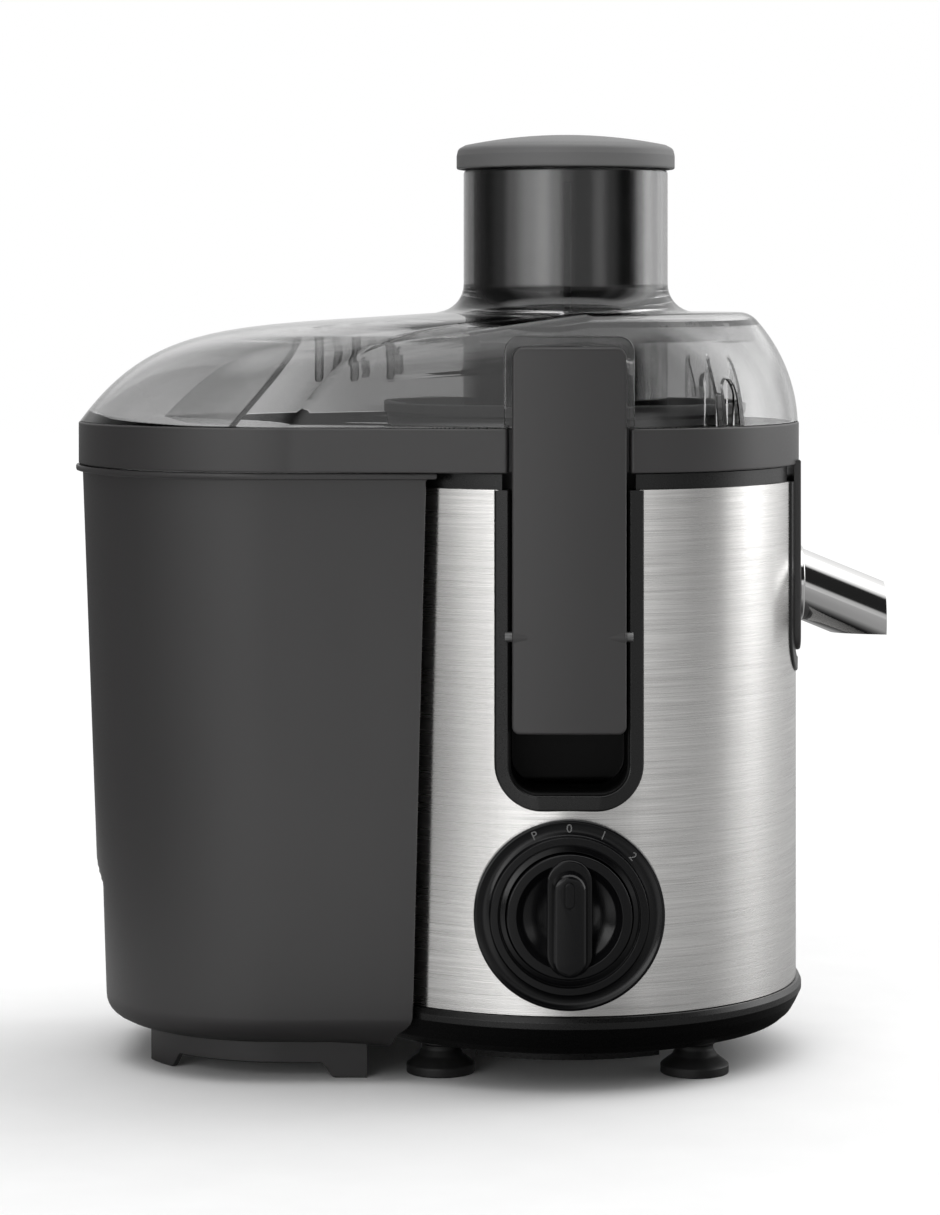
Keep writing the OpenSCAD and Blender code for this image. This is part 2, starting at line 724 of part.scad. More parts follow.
function bezier(p, t) =
    pow(1 - t, 3) * p[0] + 3 * pow(1 - t, 2) * t * p[1] + 3 * (1 - t) * t * t * p[2] + t * t * t * p[3];
function bezier_dir(p, t) =
    3 * pow(1 - t, 2) * (p[1] - p[0]) + 6 * (1 - t) * t * (p[2] - p[1]) + 3 * t * t * (p[3] - p[2]);
function inward(p, t) = let (d = bezier_dir(p, t)) [d.y, -d.x] / norm(d);

// One ring of the lid: a front arc of radius front.x and a rear arc whose extreme is rear.x
function lid_ring(front, rear, back, rear_radius) = concat(
    [for (k = [0 : 24]) let (a = -lean + 2 * lean * k / 24) [front.x * cos(a), front.x * sin(a), front.y]],
    [for (k = [0 : 18]) let (a = lean + (360 - 2 * lean) * k / 18)
        [back + rear_radius * cos(a), rear_radius * sin(a), rear.y]]);

// Rings from the rim up to the feed tube, moved inwards by t; z never falls below the rim
function shell_ring(front, u, t) =
    let (
        flat = bezier(rear_curve, u),
        rear = flat + t * inward(rear_curve, u),
        share = (flat.x - rear_curve[0].x) / rear_span,
        back = -rear_d * (1 - share),
        radius = -rear_curve[0].x - rear_d + share * (fillet_c.x + rear_d + rear_curve[0].x)
            - (rear.x - flat.x))
    lid_ring([front.x, max(front.y, lid_low)], [rear.x, max(rear.y, lid_low)], back, radius);

function lid_rings(t) = concat(
    [for (i = [0 : wall_steps]) let (a = 2.6 + (wall_arc_end - 2.6) * i / wall_steps)
        shell_ring([wall_x, wall_arc_z] + (wall_arc_r - t) * [cos(a), sin(a)],
            shoulder_share * 0.7 * i / wall_steps, i == 0 ? t * 1.2 : t)],
    [for (i = [1 : shoulder_steps]) let (a = wall_arc_end + (90 - wall_arc_end) * i / shoulder_steps)
        shell_ring(shoulder_c + (shoulder_r - t) * [cos(a), sin(a)],
            shoulder_share * (0.7 + 0.3 * i / shoulder_steps), t)],
    [for (i = [1 : roof_steps])
        shell_ring([shoulder_c.x + (fillet_c.x - shoulder_c.x) * i / roof_steps, roof_z - t],
            shoulder_share + (1 - shoulder_share) * i / roof_steps, t)],
    [for (i = [1 : fillet_steps]) let (
            a = -90 - 90 * i / fillet_steps,
            p = fillet_c + (fillet_r + t) * [cos(a), sin(a)])
        lid_ring(p, p, 0, p.x)]);

function reversed(list) = [for (i = [len(list) - 1 : -1 : 0]) list[i]];

module lid_shell() skin(concat(lid_rings(0), reversed(lid_rings(clear_wall))), closed = true);

// The room under the lid's roof, t inside the outer surface
module lid_room(t) skin([for (i = [0 : wall_steps + shoulder_steps + roof_steps]) lid_rings(t)[i]]);

tube_low = 210;
tube_bore = tube_r - 2.5;
hood_half = 24.4;
hood_top = 284.6;
arm_gap = 1.4;

socket_r = tube_r - 1.2;
glue_gap = 0.1;

// The feed tube, bonded into the lid's socket, with the key rib that guides the pusher
module feed_tube() color(smoky_clear) on_axis() {
    rotate_extrude() polygon([
        [tube_bore, tube_low], [socket_r, tube_low], [socket_r, fillet_c.y], [tube_r, fillet_c.y],
        [tube_r, tube_top], [tube_bore, tube_top]]);
    bar(-1.4, 1.4, -tube_bore - 0.5, -tube_bore + 2, tube_low, tube_top - 6);
}

module lid() color(smoky_clear) on_axis() {
    difference() {
        union() {
            difference() {
                union() {
                    lid_shell();
                    at_height(280) cylinder(r = tube_r, h = fillet_c.y - 280);
                }
                at_height(200) cylinder(r = socket_r + glue_gap, h = 200);
            }
            // hoods over the latch arms
            both_sides() hull() {
                for (sx = [-1, 1]) translate([sx * (hood_half - 6), -82.6, hood_top - 6])
                    to_near() cylinder(r = 6, h = 9.8);
                bar(-hood_half, hood_half, -92.4, -82.6, lid_low, lid_low + 1);
            }
        }
        both_sides() translate([0, -notch_back, 0]) to_near() linear_extrude(30)
            polygon(rounded(arm_w / 2 + 1.1, 200, arm_top + arm_gap, 1, 4));
    }
    // guard ring above the filter's rim, and pegs under the rear roof
    intersection() {
        lid_room(clear_wall / 2);
        union() {
            at_height(281) tube(75.4, 73.7, 30, $fn = 64);
            for (x = [-96, -82, -68], sy = [-1, 1]) translate([x, sy * 52, 267.7]) hull() {
                sphere(r = 1.7, $fn = 20);
                cylinder(r = 1.7, h = 30, $fn = 20);
            }
        }
    }
}

// A slanted panel across the rear of the lid that turns the pulp down into the container
module lid_deflector() color(smoky_clear) on_axis() intersection() {
    lid_room(clear_wall + 0.2);
    translate([-150, 0, lid_low]) rotate([0, 0, 16]) rotate([0, 41, 0])
        translate([-0.8, -100, -20]) cube([1.6, 200, 90]);
}

// ---------------------------------------------------------------- pusher

pusher_low = 214;
pusher_wall = 2.2;
cap_low = 349.8;

module pusher_body() color("#242425") on_axis() difference() {
    at_height(pusher_low) cylinder(r = pusher_r, h = cap_low - 0.2 - pusher_low);
    at_height(pusher_low + pusher_wall) cylinder(r = pusher_r - pusher_wall, h = 200);
    bar(-2.2, 2.2, -pusher_r - 1, -pusher_r + 1.2, pusher_low - 1, 360);
}

module pusher_cap() color(mid_grey) on_axis() {
    rotate_extrude() polygon(concat(
        [[0, cap_low], [cap_r, cap_low]],
        arc([cap_r - 2.6, cap_top - 7.6], 2.6, 0, 70, 4),
        [for (i = [1 : 6]) let (r = (cap_r - 3.4) * (1 - i / 6))
            [r, cap_top - 4.2 * pow(r / (cap_r - 3), 2)]]));
    at_height(340) tube(pusher_r - 2.3, pusher_r - 4.3, cap_low - 340 + 0.5);
}

// ---------------------------------------------------------------- pulp container

container_wall = 2.3;
draft_side = 0.018;
draft_rear = 0.0362;
edge_r = 11;
container_front = -40;
grip_half = 25;
skirt_r = 61.5;
skirt_t = 2.4;
skirt_low = 5.6;
skirt_front = -77;
lug_length = 14;
lug_sweep = 17;

// Half width and rear reach at a height; inset narrows the outline all round
function container_ring(z, inset) =
    let (
        down = container_top - z,
        half = container_half - draft_side * down - inset,
        reach = container_reach - 2.6 - draft_rear * down - inset,
        back = -(container_reach - 2.6 - container_half))
    concat(
        [[container_front, half, z]],
        [for (k = [0 : 28]) let (a = 90 + 180 * k / 28)
            [back + (reach + back) * cos(a), half * sin(a), z]],
        [[container_front, -half, z]]);

// Rings from the rounded lower edge up to a height
function container_rings(t, low, top) = concat(
    [for (k = [0 : 5]) let (a = 90 * k / 5)
        container_ring(low + (edge_r - t) * (1 - cos(a)), t + (edge_r - t) * (1 - sin(a)))],
    [container_ring(top, t)]);

// The finger recess in the lower rear wall
module grip_recess(t) translate([0, grip_half + t, 0]) rotate([90, 0, 0])
    linear_extrude(2 * (grip_half + t)) polygon([
        [-210, 79 + t], [-188.5 + t, 79 + t], [-182 + t, 68], [-180 + t, 0], [-210, 0]]);

module hug(r) at_height(-1) cylinder(r = r, h = tall);

// A convex stack of rings, joined pair by pair
module stack(rings) for (i = [0 : len(rings) - 2]) hull() skin([rings[i], rings[i + 1]]);

module pulp_container() color(dark_grey) on_axis() {
    difference() {
        union() {
            stack(container_rings(0, container_low, container_top));
            stack([container_ring(container_top - 2.4, -2.6), container_ring(container_top, -2.6)]);
        }
        hug(container_hug);
        grip_recess(0);
        difference() {
            stack(container_rings(container_wall, container_low + container_wall, container_top + 1));
            hug(container_hug + container_wall);
            grip_recess(container_wall);
        }
    }
    // skirt and the four lugs that the container stands on
    translate([-rear_d, 0, 0]) {
        skirt_wall(90, 180, skirt_low);
        for (a = [134, 209]) skirt_wall(a, lug_sweep, 0);
    }
    both_sides() {
        bar(-rear_d, skirt_front, -skirt_r, skirt_t - skirt_r, skirt_low, container_low + 1);
        bar(skirt_front - lug_length, skirt_front, -skirt_r, skirt_t - skirt_r, 0, skirt_low + 1);
    }
}

module skirt_wall(start, sweep, low) rotate([0, 0, start]) rotate_extrude(angle = sweep)
    translate([skirt_r - skirt_t, low]) square([skirt_t, container_low + 1 - low]);

// ---------------------------------------------------------------- nodes

motor_housing();
front_shell();
rear_shell();
motor_deck();
steel_wrap();
base_ring();
bottom_cover();
base_screws();
foot_studs();
suction_feet();
latch_frame_near();
latch_frame_far();
latch_pins();
spout_frame();
knob_bezel();
rotary_switch();
control_board();
interlock_switch();
cord_gland();
motor_stator();
field_windings();
upper_motor_bracket();
lower_motor_bracket();
upper_bearing();
lower_bearing();
through_bolts();
brush_holders();
carbon_brushes();
motor_dampers();
motor_screws();
shaft_seal();
motor_shaft();
armature_core();
armature_windings();
commutator();
cooling_fan();
drive_coupling();
control_knob();
switch_shaft();
latch_arm_near();
latch_arm_far();
juice_collector();
collector_collar();
spout();
spout_seal();
filter_base();
filter_mesh();
filter_rim();
grating_disc();
lid();
feed_tube();
lid_deflector();
pusher_body();
pusher_cap();
pulp_container();
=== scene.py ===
"""A centrifugal juicer: detailed meshes, materials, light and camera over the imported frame."""
import json
import math

import bmesh
import bpy
from mathutils import Matrix, Vector


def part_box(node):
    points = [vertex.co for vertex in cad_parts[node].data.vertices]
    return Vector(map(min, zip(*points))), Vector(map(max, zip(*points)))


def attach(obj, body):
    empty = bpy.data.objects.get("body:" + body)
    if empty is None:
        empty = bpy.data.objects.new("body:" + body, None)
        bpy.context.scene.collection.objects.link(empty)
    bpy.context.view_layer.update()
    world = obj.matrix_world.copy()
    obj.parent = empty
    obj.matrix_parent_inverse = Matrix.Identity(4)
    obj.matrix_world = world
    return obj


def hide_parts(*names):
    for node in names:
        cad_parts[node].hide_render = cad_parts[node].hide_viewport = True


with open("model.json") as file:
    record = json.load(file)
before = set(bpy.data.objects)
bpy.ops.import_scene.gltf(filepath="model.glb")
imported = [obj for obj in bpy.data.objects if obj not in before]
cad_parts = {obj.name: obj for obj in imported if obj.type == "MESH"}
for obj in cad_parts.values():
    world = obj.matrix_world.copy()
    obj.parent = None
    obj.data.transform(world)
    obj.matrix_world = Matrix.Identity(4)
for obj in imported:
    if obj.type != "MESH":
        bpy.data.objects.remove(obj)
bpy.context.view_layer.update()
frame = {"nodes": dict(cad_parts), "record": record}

MM = 0.001
ROUND_STEPS = 128

# ------------------------------------------------------------------ the frame, in millimetres

filter_low, filter_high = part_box("filter_rim")
AXIS = Vector(((filter_low.x + filter_high.x) / 2, (filter_low.y + filter_high.y) / 2, 0))


def corners(node):
    """A CAD node's lowest and highest corner in millimetres about the motor shaft."""
    low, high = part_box(node)
    return (low - AXIS) / MM, (high - AXIS) / MM


filter_low_mm, filter_high_mm = corners("filter_rim")
wrap_low, wrap_high = corners("steel_wrap")
ring_high = corners("base_ring")[1]
bezel_low, bezel_high = corners("knob_bezel")
knob_low, knob_high = corners("control_knob")
arm_low, arm_high = corners("latch_arm_near")
latch_low, latch_high = corners("latch_frame_near")
collar_low, collar_high = corners("collector_collar")
spout_low, spout_high = corners("spout")
spout_frame_low, spout_frame_high = corners("spout_frame")
lid_low, lid_high = corners("lid")
lid_tube_top = corners("feed_tube")[1].z
pusher_low, pusher_high = corners("pusher_body")
cap_high = corners("pusher_cap")[1]
container_low, container_high = corners("pulp_container")
foot_high = corners("suction_feet")[1]

# ------------------------------------------------------------------ outlines


def filleted(points, closed=False, steps=6):
    """An outline from corners (x, y, radius), with each corner rounded by an arc."""
    result = []
    last = len(points) - 1
    for i, (x, y, radius) in enumerate(points):
        here = Vector((x, y))
        if radius <= 0 or (not closed and i in (0, last)):
            result.append(here)
            continue
        before = (Vector(points[i - 1][:2]) - here).normalized()
        after = (Vector(points[(i + 1) % len(points)][:2]) - here).normalized()
        half = before.angle(after) / 2
        centre = here + (before + after).normalized() * radius / math.sin(half)
        start = here + before * radius / math.tan(half) - centre
        turn = start.angle_signed(here + after * radius / math.tan(half) - centre)
        for k in range(steps + 1):
            a = -turn * k / steps
            result.append(centre + Matrix.Rotation(a, 2) @ start)
    return result


def arc(centre, radius, start, end, steps):
    """Points on an arc, from a start angle to an end angle in degrees."""
    angles = [math.radians(start + (end - start) * k / steps) for k in range(steps + 1)]
    return [Vector((centre[0] + radius * math.cos(a), centre[1] + radius * math.sin(a)))
            for a in angles]


def circle(centre, radius, steps):
    """Points all round a circle, anticlockwise."""
    return arc(centre, radius, 0, 360, steps)[:-1]


def rectangle(left, right, low, high):
    """The corners of a rectangle, anticlockwise."""
    return [Vector(p) for p in ((left, low), (right, low), (right, high), (left, high))]


def inset(outline, distance):
    """A closed outline that runs anticlockwise, moved inwards."""
    result = []
    for i, here in enumerate(outline):
        before = here - outline[i - 1]
        after = outline[(i + 1) % len(outline)] - here
        before, after = before.normalized(), after.normalized()
        along = (before + after).normalized()
        normal = Vector((-along.y, along.x))
        result.append(here + normal * distance / max(0.4, along.dot(after)))
    return result


def box_outline(half, low, high, r_low, r_high, steps=8):
    """A rectangle with rounded corners, symmetric about x = 0, anticlockwise."""
    return filleted([(half, low, r_low), (half, high, r_high), (-half, high, r_high),
                     (-half, low, r_low)], closed=True, steps=steps)


# ------------------------------------------------------------------ solids


def upright(u, v, w):
    return Vector((u, v, w))


def to_near(u, v, w):
    return Vector((u, -w, v))


def to_far(u, v, w):
    return Vector((u, w, v))


def to_front(u, v, w):
    return Vector((w, u, v))


def to_knob(u, v, w):
    return Vector((u, -w, v + knob_z))


class Solid:
    """Points in millimetres about the motor shaft, and faces."""

    def __init__(self):
        self.points = []
        self.faces = []

    def ring(self, points):
        start = len(self.points)
        self.points += [Vector(p) for p in points]
        return list(range(start, start + len(points)))

    def bridge(self, a, b, closed=True):
        n = len(a)
        for i in range(n if closed else n - 1):
            k = (i + 1) % n
            self.faces.append((a[i], a[k], b[k], b[i]))

    def skin(self, rings, closed=True, loop=False, capped=True):
        """Joins rings of equally many points; loop joins the last to the first."""
        made = [self.ring(r) for r in rings]
        for a, b in zip(made, made[1:]):
            self.bridge(a, b, closed)
        if loop:
            self.bridge(made[-1], made[0], closed)
        if capped and not loop:
            self.faces.append(tuple(reversed(made[0])))
            self.faces.append(tuple(made[-1]))
        if loop and not closed:
            self.faces.append(tuple(r[0] for r in reversed(made)))
            self.faces.append(tuple(r[-1] for r in made))
        return self

    def prism(self, outline, low, high, r_low=0.0, r_high=0.0, place=upright, steps=4):
        """An outline pushed up from low to high, with rounded lower and upper edges."""
        levels = []
        for k in range(steps + 1 if r_low else 1):
            a = math.radians(90 * k / steps)
            levels.append((low + r_low * (1 - math.cos(a)), r_low * (1 - math.sin(a))))
        for k in range(steps + 1 if r_high else 1):
            a = math.radians(90 * k / steps)
            levels.append((high - r_high * (1 - math.sin(a)), r_high * (1 - math.cos(a))))
        rings = []
        for level, depth in levels:
            loop = inset(outline, depth) if depth else outline
            rings.append([place(p.x, p.y, level) for p in loop])
        return self.skin(rings)

    def lathe(self, profile, place=upright, centre=(0, 0), steps=ROUND_STEPS, loop=True):
        """Turns a profile of (radius, height); loop joins its last point to its first."""
        rings = []
        for p in profile:
            ring = circle(centre, max(p[0], 1e-4), steps)
            rings.append([place(q.x, q.y, p[1]) for q in ring])
        return self.skin(rings, loop=loop)

    def band(self, outer, inner, section, place, closed=False):
        """A moulding between two outlines; section is a closed list of (share, height)."""
        rings = []
        for share, height in section:
            rings.append([place(*(a + (b - a) * share), height) for a, b in zip(inner, outer)])
        return self.skin(rings, closed=closed, loop=True)


def on_wrap(place):
    """Lays an outline on the round base: u across, v up, w the distance from the shaft."""
    def placed(u, v, w):
        return place(u, v, math.sqrt(w * w - u * u))
    return placed


# ------------------------------------------------------------------ pieces


def settle(obj, crease):
    """Welds the mesh, turns its faces outwards, and keeps edges sharper than crease degrees."""
    mesh = obj.data
    bm = bmesh.new()
    bm.from_mesh(mesh)
    bmesh.ops.triangulate(bm, faces=[face for face in bm.faces if len(face.verts) > 4])
    bmesh.ops.remove_doubles(bm, verts=bm.verts, dist=2e-6)
    bmesh.ops.dissolve_degenerate(bm, edges=bm.edges, dist=1e-6)
    bmesh.ops.recalc_face_normals(bm, faces=bm.faces)
    limit = math.radians(crease)
    for edge in bm.edges:
        edge.smooth = len(edge.link_faces) != 2 or edge.calc_face_angle(0) < limit
    for face in bm.faces:
        face.smooth = True
    bm.to_mesh(mesh)
    bm.free()


def raw_object(name, solid):
    mesh = bpy.data.meshes.new(name)
    mesh.from_pydata([tuple(AXIS + p * MM) for p in solid.points], [], solid.faces)
    obj = bpy.data.objects.new(name, mesh)
    bpy.context.scene.collection.objects.link(obj)
    return obj


def settled(name, solid, crease):
    """An object that isn't a piece yet, with its mesh settled."""
    obj = raw_object(name, solid)
    settle(obj, crease)
    return obj


def combine(obj, other, operation):
    """Joins another solid to a piece, cuts it out, or keeps only what is inside it."""
    if isinstance(other, Solid):
        other = settled("other", other, 30)
    modifier = obj.modifiers.new("combine", "BOOLEAN")
    modifier.operation = operation
    modifier.solver = "MANIFOLD"
    modifier.object = other
    bpy.context.view_layer.update()
    evaluated = obj.evaluated_get(bpy.context.evaluated_depsgraph_get())
    mesh = bpy.data.meshes.new_from_object(evaluated)
    obj.modifiers.clear()
    old = obj.data
    obj.data = mesh
    bpy.data.meshes.remove(old)
    bpy.data.objects.remove(other)


def soften(obj, width, angle=40):
    """Rounds the sharp edges that are left, by a bevel in millimetres."""
    modifier = obj.modifiers.new("soft_edges", "BEVEL")
    modifier.width = width * MM
    modifier.segments = 2
    modifier.limit_method = "ANGLE"
    modifier.angle_limit = math.radians(angle)
    obj.modifiers.move(len(obj.modifiers) - 1, 0)


def dress(obj, body, finish, replaced=(), crease=35):
    """Gives a made mesh its finish, and makes it ride on a body."""
    settle(obj, crease)
    material, slot = finish
    obj.data.materials.clear()
    obj.data.materials.append(material)
    flat = obj.modifiers.new("flat_faces", "WEIGHTED_NORMAL")
    flat.keep_sharp = True
    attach(obj, body)
    if replaced:
        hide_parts(*replaced)
    return obj


def piece(name, solid, body, finish, cuts=(), replaced=(), crease=35):
    """A finished piece of the object that rides on a body."""
    obj = settled(name, solid, crease)
    for cut in cuts:
        combine(obj, cut, "DIFFERENCE")
    return dress(obj, body, finish, replaced, crease)


def finish_cad(finish, node):
    """Gives a CAD node a material; its shape stays as it is."""
    obj = frame["nodes"][node]
    if not obj.material_slots:
        obj.data.materials.append(None)
    for slot in obj.material_slots:
        slot.material = finish[0]



# ------------------------------------------------------------------ materials


def add(tree, kind, values=(), links=()):
    """A shader node with its settings and input values, and links from other nodes' outputs."""
    node = tree.nodes.new(kind)
    for key, value in dict(values).items():
        if isinstance(key, str) and hasattr(node, key):
            setattr(node, key, value)
        else:
            node.inputs[key].default_value = value
    for key, output in dict(links).items():
        tree.links.new(output, node.inputs[key])
    return node


def calculate(tree, operation, *terms):
    """The result of a sum on outputs and plain numbers."""
    node = add(tree, "ShaderNodeMath", {"operation": operation})
    for socket, term in zip(node.inputs, terms):
        if isinstance(term, float):
            socket.default_value = term
        else:
            tree.links.new(term, socket)
    return node.outputs[0]


def map_range(tree, output, start, end, low=0.0, high=1.0, interpolation="LINEAR"):
    """Maps an output from one range of values to another."""
    return add(tree, "ShaderNodeMapRange", {"interpolation_type": interpolation, 1: start, 2: end,
                                            3: low, 4: high}, {0: output}).outputs[0]


def levels(tree, output, stops):
    """A smooth ramp of brightness, from {position in 0 to 1: brightness}."""
    ramp = add(tree, "ShaderNodeValToRGB", links={0: output})
    ramp.color_ramp.interpolation = "EASE"
    made = ramp.color_ramp.elements
    for position, value in stops.items():
        if position <= 0:
            stop = made[0]
        elif position >= 1:
            stop = made[len(made) - 1]
        else:
            stop = made.new(position)
        stop.color = (value, value, value, 1)
    return ramp.outputs[0]


class Look:
    """A material in the making: its node tree and its principled shader."""

    def __init__(self, name, uniform=()):
        self.name = name
        self.material = bpy.data.materials.new(name)
        self.material.use_nodes = True
        self.tree = self.material.node_tree
        self.shader = self.tree.nodes["Principled BSDF"]
        for socket, value in dict(uniform).items():
            self.shader.inputs[socket].default_value = value

    def place(self):
        """Places in the object's own space, in metres."""
        return add(self.tree, "ShaderNodeTexCoord").outputs["Object"]

    def texture(self, kind, values):
        """A texture over the object's own space."""
        return add(self.tree, "ShaderNodeTex" + kind, values, {"Vector": self.place()})

    def noise(self, scale, detail, stretch=(1, 1, 1), place=None):
        """Noise, stretched along the axes of the object's own space or of another one."""
        start = self.place() if place is None else place
        mapping = add(self.tree, "ShaderNodeMapping", {"Scale": stretch}, {"Vector": start})
        return add(self.tree, "ShaderNodeTexNoise", {"Scale": scale, "Detail": detail},
                   {"Vector": mapping.outputs[0]}).outputs[0]

    def drive(self, socket, output):
        """Lets an output drive one of the shader's inputs."""
        self.tree.links.new(output, self.shader.inputs[socket])

    def dye(self, output, dark, light):
        """Colours the surface between two shades, by an output."""
        ramp = add(self.tree, "ShaderNodeValToRGB", links={0: output})
        for stop, position, shade in zip(ramp.color_ramp.elements, (0.3, 0.7), (dark, light)):
            stop.position = position
            stop.color = (*shade, 1)
        self.drive("Base Color", ramp.outputs[0])

    def gloss(self, output, low, high):
        """Varies the roughness between two values, by an output."""
        self.drive("Roughness", map_range(self.tree, output, 0.3, 0.7, low, high))

    def bump(self, output, strength, depth):
        """Raises the surface by an output, to a depth in millimetres."""
        raised = add(self.tree, "ShaderNodeBump", {"Strength": strength, "Distance": depth * MM},
                     {"Height": output})
        self.drive("Normal", raised.outputs[0])

    def mix_into_surface(self, factor, first, second):
        """Shows one of two shaders, by an output."""
        mix = add(self.tree, "ShaderNodeMixShader", links={0: factor, 1: first, 2: second})
        self.tree.links.new(mix.outputs[0], self.tree.nodes["Material Output"].inputs["Surface"])

    def finish(self):
        """The finish that pieces take: the material, and the slot that bears its name."""
        return self.material, self.name


def scaled(shade, share):
    return [min(1.0, c * share) for c in shade]


def plastic(name, shade, roughness, grain, grain_size=0.5, gloss_level=0.5):
    """Moulded plastic: a fine textured grain, slight flow marks and uneven gloss."""
    look = Look(name, {"Specular IOR Level": gloss_level})
    look.dye(look.noise(18, 2, (1, 1, 0.4)), scaled(shade, 0.93), scaled(shade, 1.07))
    fine = look.noise(1 / (grain_size * MM), 2)
    look.gloss(fine, roughness - 0.05, roughness + 0.05)
    look.bump(fine, grain, 0.05)
    return look.finish()


def brushed_steel(name):
    """Stainless sheet, brushed round the base, with streaks of many lengths."""
    look = Look(name, {"Metallic": 1.0, "Anisotropic": 0.75, "Anisotropic Rotation": 0.25})
    tree = look.tree
    split = add(tree, "ShaderNodeSeparateXYZ", links={0: look.place()})
    across = calculate(tree, "SUBTRACT", split.outputs["X"], AXIS.x)
    along = calculate(tree, "SUBTRACT", split.outputs["Y"], AXIS.y)
    turn = calculate(tree, "ARCTAN2", along, across)
    unrolled = add(tree, "ShaderNodeCombineXYZ",
                   links={"X": turn, "Z": split.outputs["Z"]}).outputs[0]
    long = look.noise(2400, 4.0, (0.0009, 1, 1), unrolled)
    short = look.noise(500, 4.0, (0.004, 1, 1), unrolled)
    streaks = add(tree, "ShaderNodeMix", {"data_type": "FLOAT", 0: 0.35},
                  {2: long, 3: short}).outputs[0]
    look.dye(streaks, (0.6, 0.592, 0.58), (0.94, 0.93, 0.915))
    look.gloss(streaks, 0.3, 0.22)
    look.bump(streaks, 0.05, 0.02)
    normal = add(tree, "ShaderNodeNewGeometry").outputs["Normal"]
    tangent = add(tree, "ShaderNodeVectorMath", {"operation": "CROSS_PRODUCT", 1: (0, 0, 1)},
                  {0: normal})
    look.drive("Tangent", tangent.outputs[0])
    return look.finish()


def metal(name, shade, roughness, streak):
    """Bare metal with fine turning marks; streak is how far its look varies."""
    look = Look(name, {"Metallic": 1.0})
    marks = look.noise(420, 4, (1, 1, 6))
    look.dye(marks, scaled(shade, 1 - streak), scaled(shade, 1 + streak))
    look.gloss(marks, roughness * 1.3, roughness * 0.8)
    look.bump(marks, 0.06, 0.05)
    return look.finish()


def wound_wire(name, shade):
    """Enamelled wire, laid turn beside turn."""
    look = Look(name, {"Metallic": 0.85, "Roughness": 0.32})
    turns = look.texture("Wave", {"bands_direction": "Z", "Scale": 300.0, "Distortion": 0.6,
                                  "Detail": 1.0}).outputs[0]
    look.dye(turns, scaled(shade, 0.45), shade)
    look.bump(turns, 0.5, 0.4)
    return look.finish()


def laminated(name, shade):
    """A stack of thin sheet-iron laminations."""
    look = Look(name, {"Metallic": 0.9, "Roughness": 0.42})
    sheets = look.texture("Wave", {"bands_direction": "Z", "Scale": 320.0}).outputs[0]
    blotched = calculate(look.tree, "MULTIPLY", sheets, look.noise(90, 4))
    look.dye(blotched, scaled(shade, 0.55), shade)
    look.bump(sheets, 0.35, 0.2)
    return look.finish()


def perforated_steel(name):
    """Thin steel sheet etched with rows of tiny holes."""
    look = Look(name, {"Metallic": 1.0, "Roughness": 0.3})
    holes = look.texture("Voronoi", {"Scale": 620.0, "Randomness": 0.12}).outputs[0]
    sheet = map_range(look.tree, holes, 0.24, 0.34)
    look.dye(sheet, (0.03, 0.03, 0.03), (0.62, 0.62, 0.61))
    look.bump(sheet, 0.5, 0.3)
    return look.finish()


def circuit(name):
    """Green board with copper tracks under the lacquer."""
    look = Look(name, {"Roughness": 0.3})
    tracks = look.texture("Brick", {"Scale": 90.0, "Mortar Size": 0.06,
                                    "Color1": (0.02, 0.12, 0.05, 1),
                                    "Color2": (0.025, 0.15, 0.06, 1),
                                    "Mortar": (0.1, 0.28, 0.08, 1)})
    look.drive("Base Color", tracks.outputs[0])
    look.bump(tracks.outputs["Fac"], 0.2, 0.1)
    return look.finish()


# how much light each wall of the lid lets through, from its rear end to its front end: a smoke
# tint, made paler at the rear and front ends as a painted highlight
SMOKE_AND_PAINTED_HIGHLIGHT = {0.0: 0.82, 0.25: 0.66, 0.4: 0.46, 0.75: 0.42, 0.84: 0.56, 0.95: 0.78, 1.0: 0.78}
LID_REAR_X = -0.16
LID_FRONT_X = 0.13


def smoky_clear(name, shade, roughness=0.015):
    """Smoke-tinted clear plastic, faintly rippled, with a painted highlight that makes it paler
    towards its ends.
    """
    look = Look(name, {"Transmission Weight": 1.0, "IOR": 1.49})
    tree = look.tree
    ripple = look.noise(40, 2)
    look.bump(ripple, 0.05, 0.4)
    look.gloss(ripple, roughness, roughness + 0.02)
    split = add(tree, "ShaderNodeSeparateXYZ", links={0: look.place()})
    share = map_range(tree, split.outputs["X"], LID_REAR_X, LID_FRONT_X)
    # the tint along the lid is smoke, with painted highlights that lighten its rear and front ends
    look.drive("Base Color", levels(tree, share, SMOKE_AND_PAINTED_HIGHLIGHT))
    clear = add(tree, "ShaderNodeBsdfTransparent", {"Color": (*shade, 1)})
    path = add(tree, "ShaderNodeLightPath")
    look.mix_into_surface(path.outputs["Is Shadow Ray"], look.shader.outputs[0], clear.outputs[0])
    return look.finish()


def chrome(name):
    """Bright plating with faint handling marks."""
    look = Look(name, {"Base Color": (0.72, 0.715, 0.71, 1), "Metallic": 1.0})
    look.gloss(look.noise(60, 5), 0.05, 0.1)
    return look.finish()


def rubber(name):
    """Matt black rubber with a dusty bloom."""
    look = Look(name, {"Roughness": 0.55})
    bloom = look.noise(240, 5)
    look.dye(bloom, (0.006, 0.006, 0.006), (0.016, 0.016, 0.016))
    look.bump(bloom, 0.2, 0.1)
    return look.finish()


